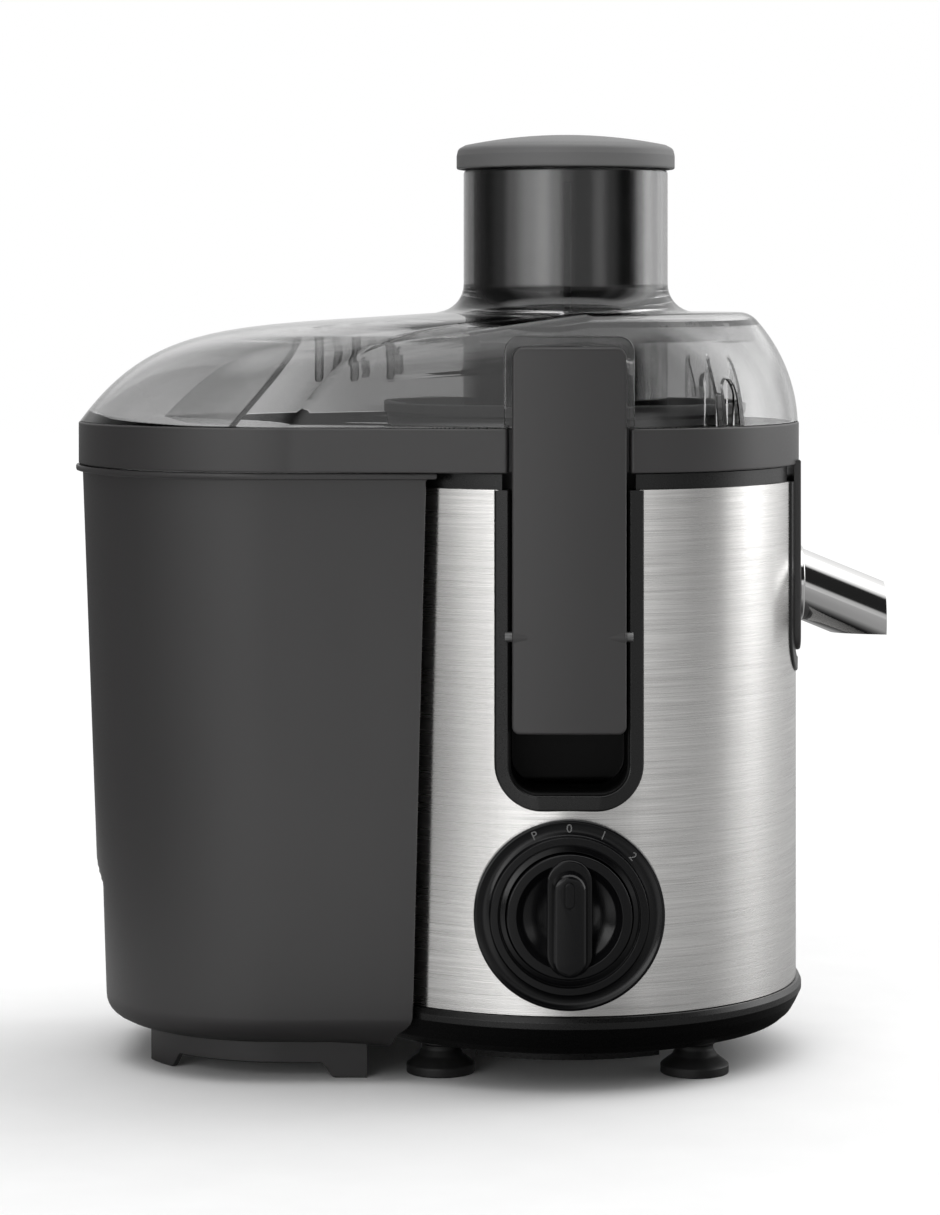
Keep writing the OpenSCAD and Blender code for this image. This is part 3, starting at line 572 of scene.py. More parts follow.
DARK_GREY = plastic("dark_grey_plastic", (0.046, 0.0445, 0.045), 0.38, 0.12)
CAP_GREY = plastic("cap_grey_plastic", (0.175, 0.175, 0.175), 0.5, 0.2, gloss_level=0.3)
BLACK = plastic("black_plastic", (0.004, 0.004, 0.004), 0.3, 0.04, gloss_level=0.42)
# a darker, duller copy of the black plastic for the latch pockets: painted shade in the recesses
SHADED_POCKET_BLACK = (plastic("pocket_black_painted_shade", (0.003, 0.003, 0.003), 0.4, 0.04, gloss_level=0.12)[0],
                "black_plastic")
CONTROL_BLACK = plastic("control_black", (0.004, 0.004, 0.0045), 0.17, 0.02, gloss_level=0.3)
PUSHER = plastic("pusher_plastic", (0.07, 0.07, 0.07), 0.1, 0.02, 4, gloss_level=0.9)
STEEL_WRAP = brushed_steel("brushed_wrap")
RUBBER = rubber("rubber_black")
CLEAR = smoky_clear("clear_lid", (0.6, 0.6, 0.6))
CHROME = chrome("chrome")
PLAIN_STEEL = metal("plain_steel", (0.6, 0.6, 0.59), 0.28, 0.12)
PIN_STEEL = metal("pin_steel", (0.2, 0.2, 0.2), 0.5, 0.1)
FILTER_STEEL = perforated_steel("filter_steel")
IRON = laminated("iron", (0.34, 0.34, 0.35))
COPPER = wound_wire("copper", (0.72, 0.3, 0.14))
BRASS = metal("brass", (0.72, 0.52, 0.22), 0.3, 0.15)
CARBON = plastic("carbon", (0.02, 0.02, 0.022), 0.6, 0.5)
BOARD = circuit("circuit_board")

# ------------------------------------------------------------------ motor base

WRAP_R = wrap_high.x
knob_z = (bezel_low.z + bezel_high.z) / 2
LATCH_HALF = (latch_high.x - latch_low.x) / 2
LATCH_CORNER = 17.6
SLOT_HALF = LATCH_HALF - 5.55
SLOT_LOW = latch_low.z + 6
FLANGE_R = -latch_low.y
OPEN_HALF = LATCH_HALF - 1.5
WRAP_THICKNESS = 0.8
KNOB_HOLE_R = 30
SLOT_CORNER = 11
SLOT_STEEP_Z = 173.5
SLOT_DEEP_Z = 137
SLOT_BACK = 85.6
SLOT_DEEP_BACK = 60
FOOT_R = 13.2


def u_outline(half, low, top, radius, steps=14):
    """A U from its upper left end round to its upper right end."""
    return filleted([(-half, top, 0), (-half, low, radius), (half, low, radius), (half, top, 0)],
                    steps=steps)


def base_wrap():
    """The steel sheet round the base, open for the latches, the spout and the knob."""
    inside = WRAP_R - WRAP_THICKNESS
    solid = Solid().lathe([(WRAP_R, wrap_low.z), (WRAP_R, wrap_high.z), (inside, wrap_high.z),
                           (inside, wrap_low.z)], steps=192)
    side, front = [u_outline(OPEN_HALF, low + 2, wrap_high.z + 9, radius, 6)
                   for low, radius in ((latch_low.z, 16), (spout_frame_low.z, 14))]
    cuts = [Solid().prism(outline, 60, 120, place=place)
            for outline, place in ((side, to_near), (side, to_far), (front, to_front))]
    cuts.append(Solid().prism(rectangle(-58, 58, -5, 400), -120, -40, place=to_front))
    cuts.append(Solid().prism(circle((0, knob_z), KNOB_HOLE_R, 48), 60, 120, place=to_near))
    piece("base_wrap", solid, "base", STEEL_WRAP, cuts, ["steel_wrap"])


def base_foot_ring():
    """The moulded ring under the steel, with its raised lip."""
    r = ring_high.x
    section = filleted([(55, 14.4, 0), (86, 14.4, 3), (89.8, 17.6, 4), (92.1, 21.6, 4),
                        (r - 0.5, 24.2, 0.6), (r, 25.2, 0.5), (r, 27.6, 0.6),
                        (r - 0.9, ring_high.z, 0.5), (WRAP_R - 3, ring_high.z, 0.3),
                        (WRAP_R - 3, 17.2, 1), (55, 17.2, 0)], closed=False, steps=4)
    return piece("base_foot_ring", Solid().lathe(section), "base", BLACK, replaced=["base_ring"])


def feet():
    """Four rubber suction feet, each a bell under a waisted stem."""
    position = foot_high.x - FOOT_R
    section = filleted([(0.01, 2, 0), (7, 1.6, 2), (11.2, 0, 0.4), (FOOT_R, 0, 0.5),
                        (FOOT_R, 3.4, 0.9), (12, 4.4, 1), (8.8, 6.8, 3), (7.2, 9.4, 2),
                        (7.2, 11, 0.6), (7.9, 11.4, 0.3), (7.9, 14.2, 0), (0.01, 14.2, 0)],
                       steps=4)
    names = {(-1, -1): "foot_near_rear", (1, -1): "foot_near_front",
             (-1, 1): "foot_far_rear", (1, 1): "foot_far_front"}
    made = [piece(name, Solid().lathe(section, centre=(sx * position, sy * position), steps=64),
                  "base", RUBBER) for (sx, sy), name in names.items()]
    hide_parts("suction_feet")


def pocket_back(z):
    """How far the back of a latch pocket is from the shaft, at a height."""
    share = (z - SLOT_DEEP_Z) / (SLOT_STEEP_Z - SLOT_DEEP_Z)
    return SLOT_DEEP_BACK + (SLOT_BACK - SLOT_DEEP_BACK) * min(1.0, max(0.0, share))


def lapped_bezel(name, place, node, low, top, corner, slot_low, behind):
    """A bezel that laps over the steel's edge round an opening, and reaches behind it."""
    outer = u_outline(LATCH_HALF, low, top, corner)
    inner = u_outline(SLOT_HALF, slot_low, top, SLOT_CORNER)
    wide = LATCH_HALF - SLOT_HALF
    seat = WRAP_R + 0.02
    lap = filleted([(0, WRAP_R - behind, 0), (0, FLANGE_R, 0.9), (wide, FLANGE_R, 0.9),
                    (wide, seat, 0), (wide - 1.2, seat, 0), (wide - 1.2, WRAP_R - behind, 0)])
    section = [(p.x / wide, p.y) for p in lap]
    piece(name, Solid().band(outer, inner, section, on_wrap(place)), "base", BLACK,
          replaced=[node])


def latch_surround(name, place, node):
    """The bezel round a latch, and the pocket behind its arm."""
    top = latch_high.z
    lapped_bezel(name + "_bezel", place, node, latch_low.z, top, LATCH_CORNER, SLOT_LOW, 7)
    base = SLOT_LOW + SLOT_CORNER
    heights = [base - SLOT_CORNER * math.cos(math.radians(a)) for a in range(0, 91, 9)]
    heights += [base + (top - base) * k / 40 for k in range(1, 41)]
    rows = []
    for z in heights:
        drop = max(0.0, base - z)
        half = SLOT_HALF - SLOT_CORNER + math.sqrt(max(0.0, SLOT_CORNER ** 2 - drop * drop))
        front = math.sqrt((WRAP_R - 0.4) ** 2 - half * half)
        plan = filleted([(-half, front, 0), (-half, pocket_back(z), 1.6),
                         (half, pocket_back(z), 1.6), (half, front, 0)])
        rows.append([place(p.x, z, p.y) for p in plan])
    lining = Solid()
    made = [lining.ring(row) for row in rows]
    for a, b in zip(made, made[1:]):
        lining.bridge(a, b, closed=False)
    lining.faces.append(tuple(made[0]))
    # the pocket lining takes the darker copy of the black plastic, painted shade for the recess
    pocket = piece(name + "_pocket", lining, "base", SHADED_POCKET_BLACK)
    shell = pocket.modifiers.new("wall", "SOLIDIFY")
    shell.thickness = 1.2 * MM
    shell.offset = 0


# ------------------------------------------------------------------ control knob

DIAL_R = knob_high.x
BEZEL_R = bezel_high.x
DIAL_FACE = 98.5
DIAL_LOW = 88.4
DIAL_MARKS = {"P": -23.5, "0": 0.0, "1": 23.0, "2": 47.0}
MARK_SIZE = 4.6
MARK_R = 32.4
MARK_FACE = 94.0


def knob_surround():
    """The fixed bezel: a dished outer ring, then two narrow rings round the dial."""
    r = BEZEL_R
    section = filleted([(DIAL_R + 0.35, 84, 0), (DIAL_R + 0.35, 95.7, 0.3), (26.5, 94.9, 0.2),
                        (26.7, 96.6, 0.25), (29.5, 96.6, 0.35), (29.9, 94.2, 0.8),
                        (32.4, 93.2, 6), (35.1, 94.4, 1.2), (r, 93.6, 0.6), (r, 84, 0)], steps=6)
    piece("knob_surround", Solid().lathe(section, to_knob, steps=160), "base", CONTROL_BLACK,
          replaced=["knob_bezel"], crease=28)


def pill(half, low, high, steps=10):
    """An outline with round ends, anticlockwise."""
    return arc((0, high - half), half, 0, 180, steps) + arc((0, low + half), half, 180, 360, steps)


def dial():
    """The turning dial: a flat rim, dished sides and a stepped finger bar."""
    face = DIAL_FACE
    section = filleted([(0.01, DIAL_LOW, 0), (DIAL_R, DIAL_LOW, 0), (DIAL_R, face, 0.7),
                        (19.9, face, 0.35), (17.5, 96.4, 4), (11, 93.9, 10), (0.01, 93.4, 0)],
                       steps=6)
    piece("dial_disc", Solid().lathe(section, to_knob, steps=160), "knob", CONTROL_BLACK,
          replaced=["control_knob"], crease=28)
    reach = -knob_low.y
    step_outline = pill(8.5, -DIAL_R + 1.2, 21.7, 12)
    ridge_outline = pill(6.2, -DIAL_R + 1.9, 17.2, 12)
    piece("dial_step", Solid().prism(step_outline, 91, face + 1.5, 0, 0.9, to_knob), "knob",
          CONTROL_BLACK, crease=28)
    ridge = Solid().skin([
        [to_knob(p.x, p.y, level) for p in inset(ridge_outline, depth)]
        for level, depth in ((91, -1.0), (face, -0.9), (reach - 2.2, 0.0), (reach - 0.9, 0.25),
                             (reach - 0.25, 0.8), (reach, 1.6))])
    mark = Solid().prism(pill(2.2, 3.9, 14.4), reach - 0.7, reach + 2, place=to_knob)
    piece("dial_ridge", ridge, "knob", CONTROL_BLACK, [mark], crease=28)
    insert = pill(1.75, 4.35, 13.95)
    piece("dial_mark", Solid().prism(insert, reach - 1.2, reach - 0.12, 0, 0.3, to_knob), "knob",
          CONTROL_BLACK, crease=28)


def dial_marks():
    """The pulse, off and speed marks, printed round the bezel's outer ring."""
    for text, degrees in DIAL_MARKS.items():
        curve = bpy.data.curves.new("mark_" + text, "FONT")
        curve.body = text
        curve.size = MARK_SIZE * MM
        curve.align_x, curve.align_y = "CENTER", "CENTER"
        curve.extrude = 0.15 * MM
        curve.resolution_u = 3
        drawn = bpy.data.objects.new("mark_" + text, curve)
        bpy.context.scene.collection.objects.link(drawn)
        bpy.context.view_layer.update()
        mesh = bpy.data.meshes.new_from_object(drawn.evaluated_get(
            bpy.context.evaluated_depsgraph_get()))
        bpy.data.objects.remove(drawn)
        a = math.radians(degrees)
        centre = AXIS + to_knob(MARK_R * math.sin(a), MARK_R * math.cos(a), MARK_FACE) * MM
        turn = Matrix.Rotation(a, 4, "Y") @ Matrix.Rotation(math.pi / 2, 4, "X")
        mesh.transform(Matrix.Translation(centre) @ turn)
        obj = bpy.data.objects.new("dial_mark_" + text, mesh)
        bpy.context.scene.collection.objects.link(obj)
        dress(obj, "base", CAP_GREY)


# ------------------------------------------------------------------ latches

ARM_HALF = (arm_high.x - arm_low.x) / 2
BOW_R = 220
ARM_EDGE = 1.1
PIVOT_Y = 89.5
PIVOT_Z = 171.6


def front_face(solid, level, count):
    """Closes the last ring with strips between its top and bottom edges."""
    start = level * count
    half = count // 2
    for i in range(half - 1):
        a, b = start + i, start + i + 1
        c, d = start + count - 2 - i, start + count - 1 - i
        solid.faces.append((a, b, c, d))


def latch(name, place, body, node):
    """A latch arm: a flat plate with soft edges and a return flange, on two pivot bosses."""
    face = -arm_low.y
    back = face - 6.4

    def bowed(u, v, w):
        sag = BOW_R - math.sqrt(BOW_R * BOW_R - u * u)
        return place(u, v, w - sag * (w - back) / (face - back))

    low, high = arm_low.z, arm_high.z
    steps_out = [(back, 0.0), (face - ARM_EDGE, 0.0)]
    for a in [math.radians(15 * k) for k in range(1, 7)]:
        steps_out.append((face - ARM_EDGE + ARM_EDGE * math.sin(a),
                          ARM_EDGE - ARM_EDGE * math.cos(a)))
    rings = []
    for level, depth in steps_out:
        half = ARM_HALF - depth
        top = [Vector((half - 2 * half * k / 24, high - depth)) for k in range(1, 24)]
        foot = [Vector((-half + 2 * half * k / 24, low + depth)) for k in range(1, 24)]
        corner_r = 4.2 - depth
        foot_r = 3 - depth
        loop = (arc((half - corner_r, high - depth - corner_r), corner_r, 0, 90, 8)
                + [p for p in top if abs(p.x) < half - corner_r - 0.3]
                + arc((corner_r - half, high - depth - corner_r), corner_r, 90, 180, 8)
                + arc((foot_r - half, low + depth + foot_r), foot_r, 180, 270, 8)
                + [p for p in foot if abs(p.x) < half - corner_r - 0.3]
                + arc((half - foot_r, low + depth + foot_r), foot_r, 270, 360, 8))
        rings.append([bowed(p.x, p.y, level) for p in loop])
    solid = Solid().skin(rings, capped=False)
    solid.faces.append(tuple(reversed(range(len(rings[0])))))
    front_face(solid, len(rings) - 1, len(rings[0]))
    room = box_outline(ARM_HALF - 2.4, low + 2.4, high - 2.4, 1.5, 1.5)
    hollow = Solid().prism(room, 40, face - 4.2, 0, 0, place)
    piece(name, solid, body, DARK_GREY, [hollow], [node])
    for side, tag in ((-1, "rear"), (1, "front")):
        boss = filleted([(0.01, 13, 0), (4, 13, 0.4), (4, 21.1, 0.4), (0.01, 21.1, 0)])
        ends = [[place(side * x, PIVOT_Z + r * math.sin(t), PIVOT_Y + r * math.cos(t))
                 for t in [math.radians(a) for a in range(0, 360, 12)]]
                for r, x in [(max(p.x, 0.01), p.y) for p in boss]]
        piece(name + "_boss_" + tag, Solid().skin(ends), body, DARK_GREY)

# ------------------------------------------------------------------ collector

COLLAR_R = collar_high.x
COLLAR_LOW = container_high.z + 0.3
COLLAR_TOP = collar_high.z
REAR_D = 109
REAR_R = -collar_low.x - REAR_D
NOTCH_HALF = 23
NOTCH_BACK = 84.8
BOWL_R = 80
BOWL_LOW = 172
COLLECTOR_WALL = 2.4
CHUTE_R = 76
CHUTE_HUG = 98.4
NOZZLE_R = 9.6


def plan_outline(front, rear, notch_half, notch_back, soft):
    """The collar's plan: two round ends, straight sides and a notch on each side."""
    lean = math.degrees(math.acos((front - rear) / REAR_D))
    edge = math.degrees(math.acos(notch_half / front))
    y_front = math.sqrt(front ** 2 - notch_half ** 2)
    touch = Vector((front * math.cos(math.radians(lean)), front * math.sin(math.radians(lean))))
    y_rear = touch.y - (touch.x + notch_half) / math.tan(math.radians(lean))
    far = filleted([(notch_half + 3, y_front - 0.9, 0), (notch_half, y_front, soft),
                    (notch_half, notch_back, 0.6), (-notch_half, notch_back, 0.6),
                    (-notch_half, y_rear, soft), (-notch_half - 3, y_rear - 0.2, 0)])
    near = [Vector((p.x, -p.y)) for p in reversed(far)]
    front_arc = arc((0, 0), front, -edge + 3, edge - 3, 72)
    rear_arc = arc((-REAR_D, 0), rear, lean, 360 - lean, 80)
    return front_arc + far[1:-1] + rear_arc + near[1:-1]


def collector():
    """The juice collector: collar, shelf with the pulp chute, bowl, outlet and tongue."""
    outer = plan_outline(COLLAR_R, REAR_R, NOTCH_HALF, NOTCH_BACK, 1.2)
    inner = plan_outline(COLLAR_R - 2.6, REAR_R - 2.6, NOTCH_HALF + 1.8, NOTCH_BACK - 1.6, 0.8)
    collar = Solid().prism(outer, COLLAR_LOW, COLLAR_TOP, 0.7, 0.8)
    hollow = Solid().prism(inner, COLLAR_LOW - 1, COLLAR_TOP + 1)
    rim = piece("collector_collar_visual", collar, "collector", DARK_GREY, [hollow],
                ["juice_collector", "collector_collar"])
    soften(rim, 0.35, 50)
    shelf_z = COLLAR_LOW + 2
    shelf = Solid().prism(inset(inner, -0.6), shelf_z, shelf_z + 2)
    well = Solid().lathe([(0.01, shelf_z - 1), (BOWL_R - 0.2, shelf_z - 1),
                          (BOWL_R - 0.2, shelf_z + 3), (0.01, shelf_z + 3)])
    side = math.degrees(math.asin(CHUTE_R / CHUTE_HUG))
    chute = (arc((-REAR_D - 2, 0), CHUTE_R, 90, 270, 40)
             + arc((0, 0), CHUTE_HUG, 180 + side, 180 - side, 40))
    drop = Solid().prism(chute, shelf_z - 1, shelf_z + 3)
    soften(piece("collector_shelf", shelf, "collector", DARK_GREY, [well, drop]), 0.3, 50)
    low = BOWL_LOW
    floor_z = low + COLLECTOR_WALL
    bowl = filleted([(18, low, 0), (BOWL_R, low, 3), (BOWL_R, shelf_z + 2, 0.6),
                     (BOWL_R - 2, shelf_z + 2, 0.6), (BOWL_R - 2, floor_z, 4),
                     (20, floor_z, 1), (20, low + 18, 0.5), (18, low + 18, 0)])
    piece("collector_bowl", Solid().lathe(bowl), "collector", DARK_GREY)
    nozzle = filleted([(8, BOWL_R - 3, 0), (NOZZLE_R, BOWL_R - 3, 0), (NOZZLE_R, 97.6, 0.4),
                       (8, 97.6, 0.3)], steps=3)
    piece("collector_nozzle", Solid().lathe(nozzle, to_front, (0, SPOUT_Z), 48), "collector",
          DARK_GREY)
    tongue = box_outline(21.4, 159.6, COLLAR_LOW + 2, 6, 0.6)
    hole = Solid().prism(circle((0, SPOUT_Z), NOZZLE_R + 0.1, 40), 80, 100, place=to_front)
    piece("collector_tongue", Solid().prism(tongue, 89.4, 92.4, 0.3, 1.0, to_front),
          "collector", DARK_GREY, [hole])


# ------------------------------------------------------------------ spout

SPOUT_Z = 184.8
SPOUT_SLOPE = math.radians(22.2)
SPOUT_R = 13.35
SPOUT_WALL = 1.8
SPOUT_ROOT = spout_low.x


def along_spout(u, v, w):
    """Across the spout, up, and along its slope from the root."""
    x = SPOUT_ROOT + w * math.cos(SPOUT_SLOPE) + v * math.sin(SPOUT_SLOPE)
    z = SPOUT_Z - w * math.sin(SPOUT_SLOPE) + v * math.cos(SPOUT_SLOPE)
    return Vector((x, u, z))


def spout():
    """The chrome spout: a sloping tube cut off flat in front and below, and its root ring."""
    reach = spout_high.x
    body = Solid().prism(circle((0, 0), SPOUT_R, 96), -10, 60, place=along_spout)
    block = rectangle(-40, 40, 100, 260)
    behind = Solid().prism(block, 60, SPOUT_ROOT, place=to_front)
    ahead = Solid().prism(block, reach, 200, place=to_front)
    below = Solid().prism(rectangle(60, 200, -40, 40), 100, spout_low.z)
    channel = Solid().prism(circle((0, 0), SPOUT_R - SPOUT_WALL, 64), 6, 60, place=along_spout)
    keep = Solid().prism(block, reach - 2.2, 300, place=to_front)
    hollow = settled("channel", channel, 30)
    combine(hollow, keep, "DIFFERENCE")
    tube = piece("spout_tube", body, "spout", CHROME, [behind, ahead, below, hollow], ["spout"],
                 crease=40)
    soften(tube, 0.5, 45)
    ring = filleted([(9.7, SPOUT_ROOT, 0), (14.8, SPOUT_ROOT, 0.3), (14.8, SPOUT_ROOT + 1.8, 0.7),
                     (13, SPOUT_ROOT + 1.8, 0)])
    ring.append(Vector((9.7, SPOUT_ROOT + 1.8)))
    piece("spout_root_ring", Solid().lathe(ring, to_front, (0, SPOUT_Z), 96), "spout", CHROME)


# ------------------------------------------------------------------ lid

LID_LOW = lid_low.z
ROOF_Z = 292.9
CLEAR_WALL = 2.4
TUBE_R = 40.8
TUBE_WALL = 2.5
TUBE_LOW = 210
WALL_R = 64
WALL_END = 42
WALL_ARC_Z = LID_LOW - 2.9
WALL_X = lid_high.x + 0.07 - WALL_R
FILLET_R = 11.2
LEAN = 85
SHOULDER_SHARE = 0.45
ARC_STEPS = 64
WALL_STEPS = 16
SHOULDER_STEPS = 8
ROOF_STEPS = 12
FILLET_STEPS = 10
HOOD_HALF = 24.4
HOOD_TOP = 284.6
BOSS_ANGLES = (-47, 47)
ARCH_STRETCH = 1.6


def on_circle(centre, radius, degrees):
    a = math.radians(degrees)
    return Vector((centre[0] + radius * math.cos(a), centre[1] + radius * math.sin(a)))


rise = math.sin(math.radians(WALL_END))
SHOULDER_R = (ROOF_Z - WALL_ARC_Z - WALL_R * rise) / (1 - rise)
SHOULDER_C = on_circle((WALL_X, WALL_ARC_Z), WALL_R - SHOULDER_R, WALL_END)
FILLET_C = Vector((TUBE_R + FILLET_R, ROOF_Z + FILLET_R))
REAR_CURVE = [Vector(p) for p in ((-193.6, LID_LOW), (-163.8, 290.2), (-132.6, 286.9),
                                  (-FILLET_C.x, ROOF_Z - 0.3))]


def bezier(t):
    a, b, c, d = REAR_CURVE
    s = 1 - t
    return a * s ** 3 + b * 3 * s * s * t + c * 3 * s * t * t + d * t ** 3


def bezier_inward(t):
    a, b, c, d = REAR_CURVE
    s = 1 - t
    along = (b - a) * s * s + (c - b) * 2 * s * t + (d - c) * t * t
    return Vector((along.y, -along.x)).normalized()


def lid_ring(front, rear, back, radius):
    """One ring of the lid: a front arc and a rear arc, at their own heights."""
    front_arc = arc((0, 0), front.x, -LEAN, LEAN, ARC_STEPS)
    rear_arc = arc((back, 0), radius, LEAN, 360 - LEAN, ARC_STEPS)
    return ([Vector((p.x, p.y, front.y)) for p in front_arc]
            + [Vector((p.x, p.y, rear.y)) for p in rear_arc])


def shell_ring(front, u, depth):
    flat = bezier(u)
    rear = flat + depth * bezier_inward(u)
    span_x = REAR_CURVE[3].x - REAR_CURVE[0].x
    share = (flat.x - REAR_CURVE[0].x) / span_x
    back = -REAR_D * (1 - share)
    foot = -REAR_CURVE[0].x - REAR_D
    radius = foot + share * (FILLET_C.x - foot) - (rear.x - flat.x)
    front = Vector((front.x, max(front.y, LID_LOW)))
    rear = Vector((rear.x, max(rear.y, LID_LOW)))
    return lid_ring(front, rear, back, radius)


def lid_rings(depth):
    """Rings from the lid's rim up to the feed tube, moved inwards by depth."""
    rings = []
    for i in range(WALL_STEPS + 1):
        share = i / WALL_STEPS
        front = on_circle((WALL_X, WALL_ARC_Z), WALL_R - depth, 2.6 + (WALL_END - 2.6) * share)
        rings.append(shell_ring(front, SHOULDER_SHARE * 0.7 * share, depth))
    for i in range(1, SHOULDER_STEPS + 1):
        share = i / SHOULDER_STEPS
        front = on_circle(SHOULDER_C, SHOULDER_R - depth, WALL_END + (90 - WALL_END) * share)
        rings.append(shell_ring(front, SHOULDER_SHARE * (0.7 + 0.3 * share), depth))
    for i in range(1, ROOF_STEPS + 1):
        share = i / ROOF_STEPS
        x = SHOULDER_C.x + (FILLET_C.x - SHOULDER_C.x) * share
        rings.append(shell_ring(Vector((x, ROOF_Z - depth)),
                                SHOULDER_SHARE + (1 - SHOULDER_SHARE) * share, depth))
    for i in range(1, FILLET_STEPS + 1):
        p = on_circle(FILLET_C, FILLET_R + depth, -90 - 90 * i / FILLET_STEPS)
        rings.append(lid_ring(p, p, 0, p.x))
    return rings


def tube_rings(radius, heights):
    return [lid_ring(Vector((radius, z)), Vector((radius, z)), 0, radius) for z in heights]


def lid_shell():
    """The clear lid in one moulding with its feed tube, and a rolled rim on the tube."""
    top = lid_tube_top
    inside = TUBE_R - TUBE_WALL
    outer = lid_rings(0)[:-1] + tube_rings(TUBE_R, (ROOF_Z + FILLET_R, 320, 335, top - 1.2))
    rim = [tube_rings(r, [z])[0] for r, z in ((TUBE_R - 0.3, top - 0.4), (TUBE_R - 1.2, top),
                                              (inside + 0.6, top), (inside, top - 0.6))]
    bore = tube_rings(inside, (320, 290, 250, TUBE_LOW + 0.6))
    foot = [tube_rings(r, [z])[0] for r, z in ((inside + 0.6, TUBE_LOW), (TUBE_R - 0.6, TUBE_LOW),
                                               (TUBE_R, TUBE_LOW + 0.6))]
    ceiling = ROOF_Z - CLEAR_WALL
    outside = tube_rings(TUBE_R, (250, 270, ceiling - 4, ceiling - 1))
    soft = tube_rings(TUBE_R + 1, [ceiling])
    under = list(reversed(lid_rings(CLEAR_WALL)[:-FILLET_STEPS - 1]))
    return Solid().skin(outer + rim + bore + foot + outside + soft + under, loop=True)


def lid_room(depth):
    """The room under the lid's roof, as a solid."""
    return Solid().skin(lid_rings(depth)[:-FILLET_STEPS])


def peg(x, y):
    """A blunt peg that hangs from the roof."""
    tip = 266
    section = [(0.01, tip), (0.9, tip + 0.15), (1.45, tip + 0.6), (1.7, tip + 1.3),
               (1.7, 300), (0.01, 300)]
    return Solid().lathe(section, centre=(x, y), steps=24, loop=False)


def wall_boss(half, top, inner, outer, degrees):
    """An arch-shaped boss that stands on the lid's rim, at an angle round the shaft."""
    turn = Matrix.Rotation(math.radians(degrees), 3, "Z")
    spring = LID_LOW + top - half * ARCH_STRETCH
    crown = [Vector((p.x, spring + p.y * ARCH_STRETCH)) for p in arc((0, 0), half, 0, 180, 16)]
    arch = crown + [Vector((-half, LID_LOW - 0.5)), Vector((half, LID_LOW - 0.5))]

    def place(u, v, w):
        return turn @ Vector((w, u, v))
    return Solid().prism(arch, inner, outer, place=place)


def lid():
    """The lid with its hoods over the latch arms, guard ring, pegs and locating bosses."""
    glass = settled("lid_moulding", lid_shell(), 35)
    inner_parts = settled("inner_parts", peg(-96, -52), 35)
    for x, y in ((-96, 52), (-82, -52), (-82, 52), (-68, -52), (-68, 52)):
        combine(inner_parts, peg(x, y), "UNION")
    guard = [(73.8, 281.4), (74.2, 281), (75.2, 281), (75.6, 281.4), (75.6, 300), (73.8, 300)]
    combine(inner_parts, Solid().lathe(guard), "UNION")
    for degrees in BOSS_ANGLES:
        boss = settled("boss", wall_boss(7.2, 31, 83, 96, degrees), 35)
        combine(boss, wall_boss(5.7, 29, 80, 88.2, degrees), "DIFFERENCE")
        combine(inner_parts, boss, "UNION")
    combine(inner_parts, lid_room(CLEAR_WALL / 2), "INTERSECT")
    combine(glass, inner_parts, "UNION")
    hood = box_outline(HOOD_HALF, LID_LOW, HOOD_TOP, 0.6, 6)
    pocket = box_outline(ARM_HALF + 1.1, 200, arm_high.z + 1.4, 1, 4)
    for place in (to_near, to_far):
        combine(glass, Solid().prism(hood, 82.6, 92.4, 0.4, 0.7, place), "UNION")
        combine(glass, Solid().prism(pocket, NOTCH_BACK, 120, 0, 0, place), "DIFFERENCE")
    for degrees in BOSS_ANGLES:
        combine(glass, wall_boss(3.6, 18, 83.4, 99, degrees), "DIFFERENCE")
    dress(glass, "lid", CLEAR, ["lid", "feed_tube"], 32)
    rib = [Vector(p) for p in ((-1.4, -38.6), (1.4, -38.6), (1.1, -36.3), (-1.1, -36.3))]
    piece("feed_tube_rib", Solid().prism(rib, TUBE_LOW, lid_tube_top - 6), "lid", CLEAR)


def deflector():
    """The slanted panel under the rear roof that turns the pulp down."""
    panel = rectangle(-20, 90, -100, 100)
    turn = Matrix.Rotation(math.radians(16), 3, "Z") @ Matrix.Rotation(math.radians(41), 3, "Y")

    def place(u, v, w):
        return Vector((-150, 0, LID_LOW)) + turn @ Vector((w, v, u))
    obj = settled("lid_deflector_panel", Solid().prism(panel, -0.9, 0.9, place=place), 30)
    combine(obj, lid_room(CLEAR_WALL + 0.2), "INTERSECT")
    dress(obj, "lid", CLEAR, ["lid_deflector"], 30)


def basket_rim():
    """The filter basket's moulded rim, with soft edges."""
    low, high = filter_low_mm, filter_high_mm
    section = filleted([(68, low.z, 0), (high.x - 1.4, low.z, 0.8), (high.x - 1.4, low.z + 3, 0.5),
                        (high.x, low.z + 4.2, 0.7), (high.x, high.z, 1.0),
                        (high.x - 3, high.z, 0.9), (high.x - 3.4, low.z + 3.5, 1),
                        (68, low.z + 2.4, 0.4)])
    piece("basket_rim", Solid().lathe(section, steps=160), "filter", CAP_GREY,
          replaced=["filter_rim"])


# ------------------------------------------------------------------ pusher

CAP_LOW = 349.8
CAP_RISE = 4.2


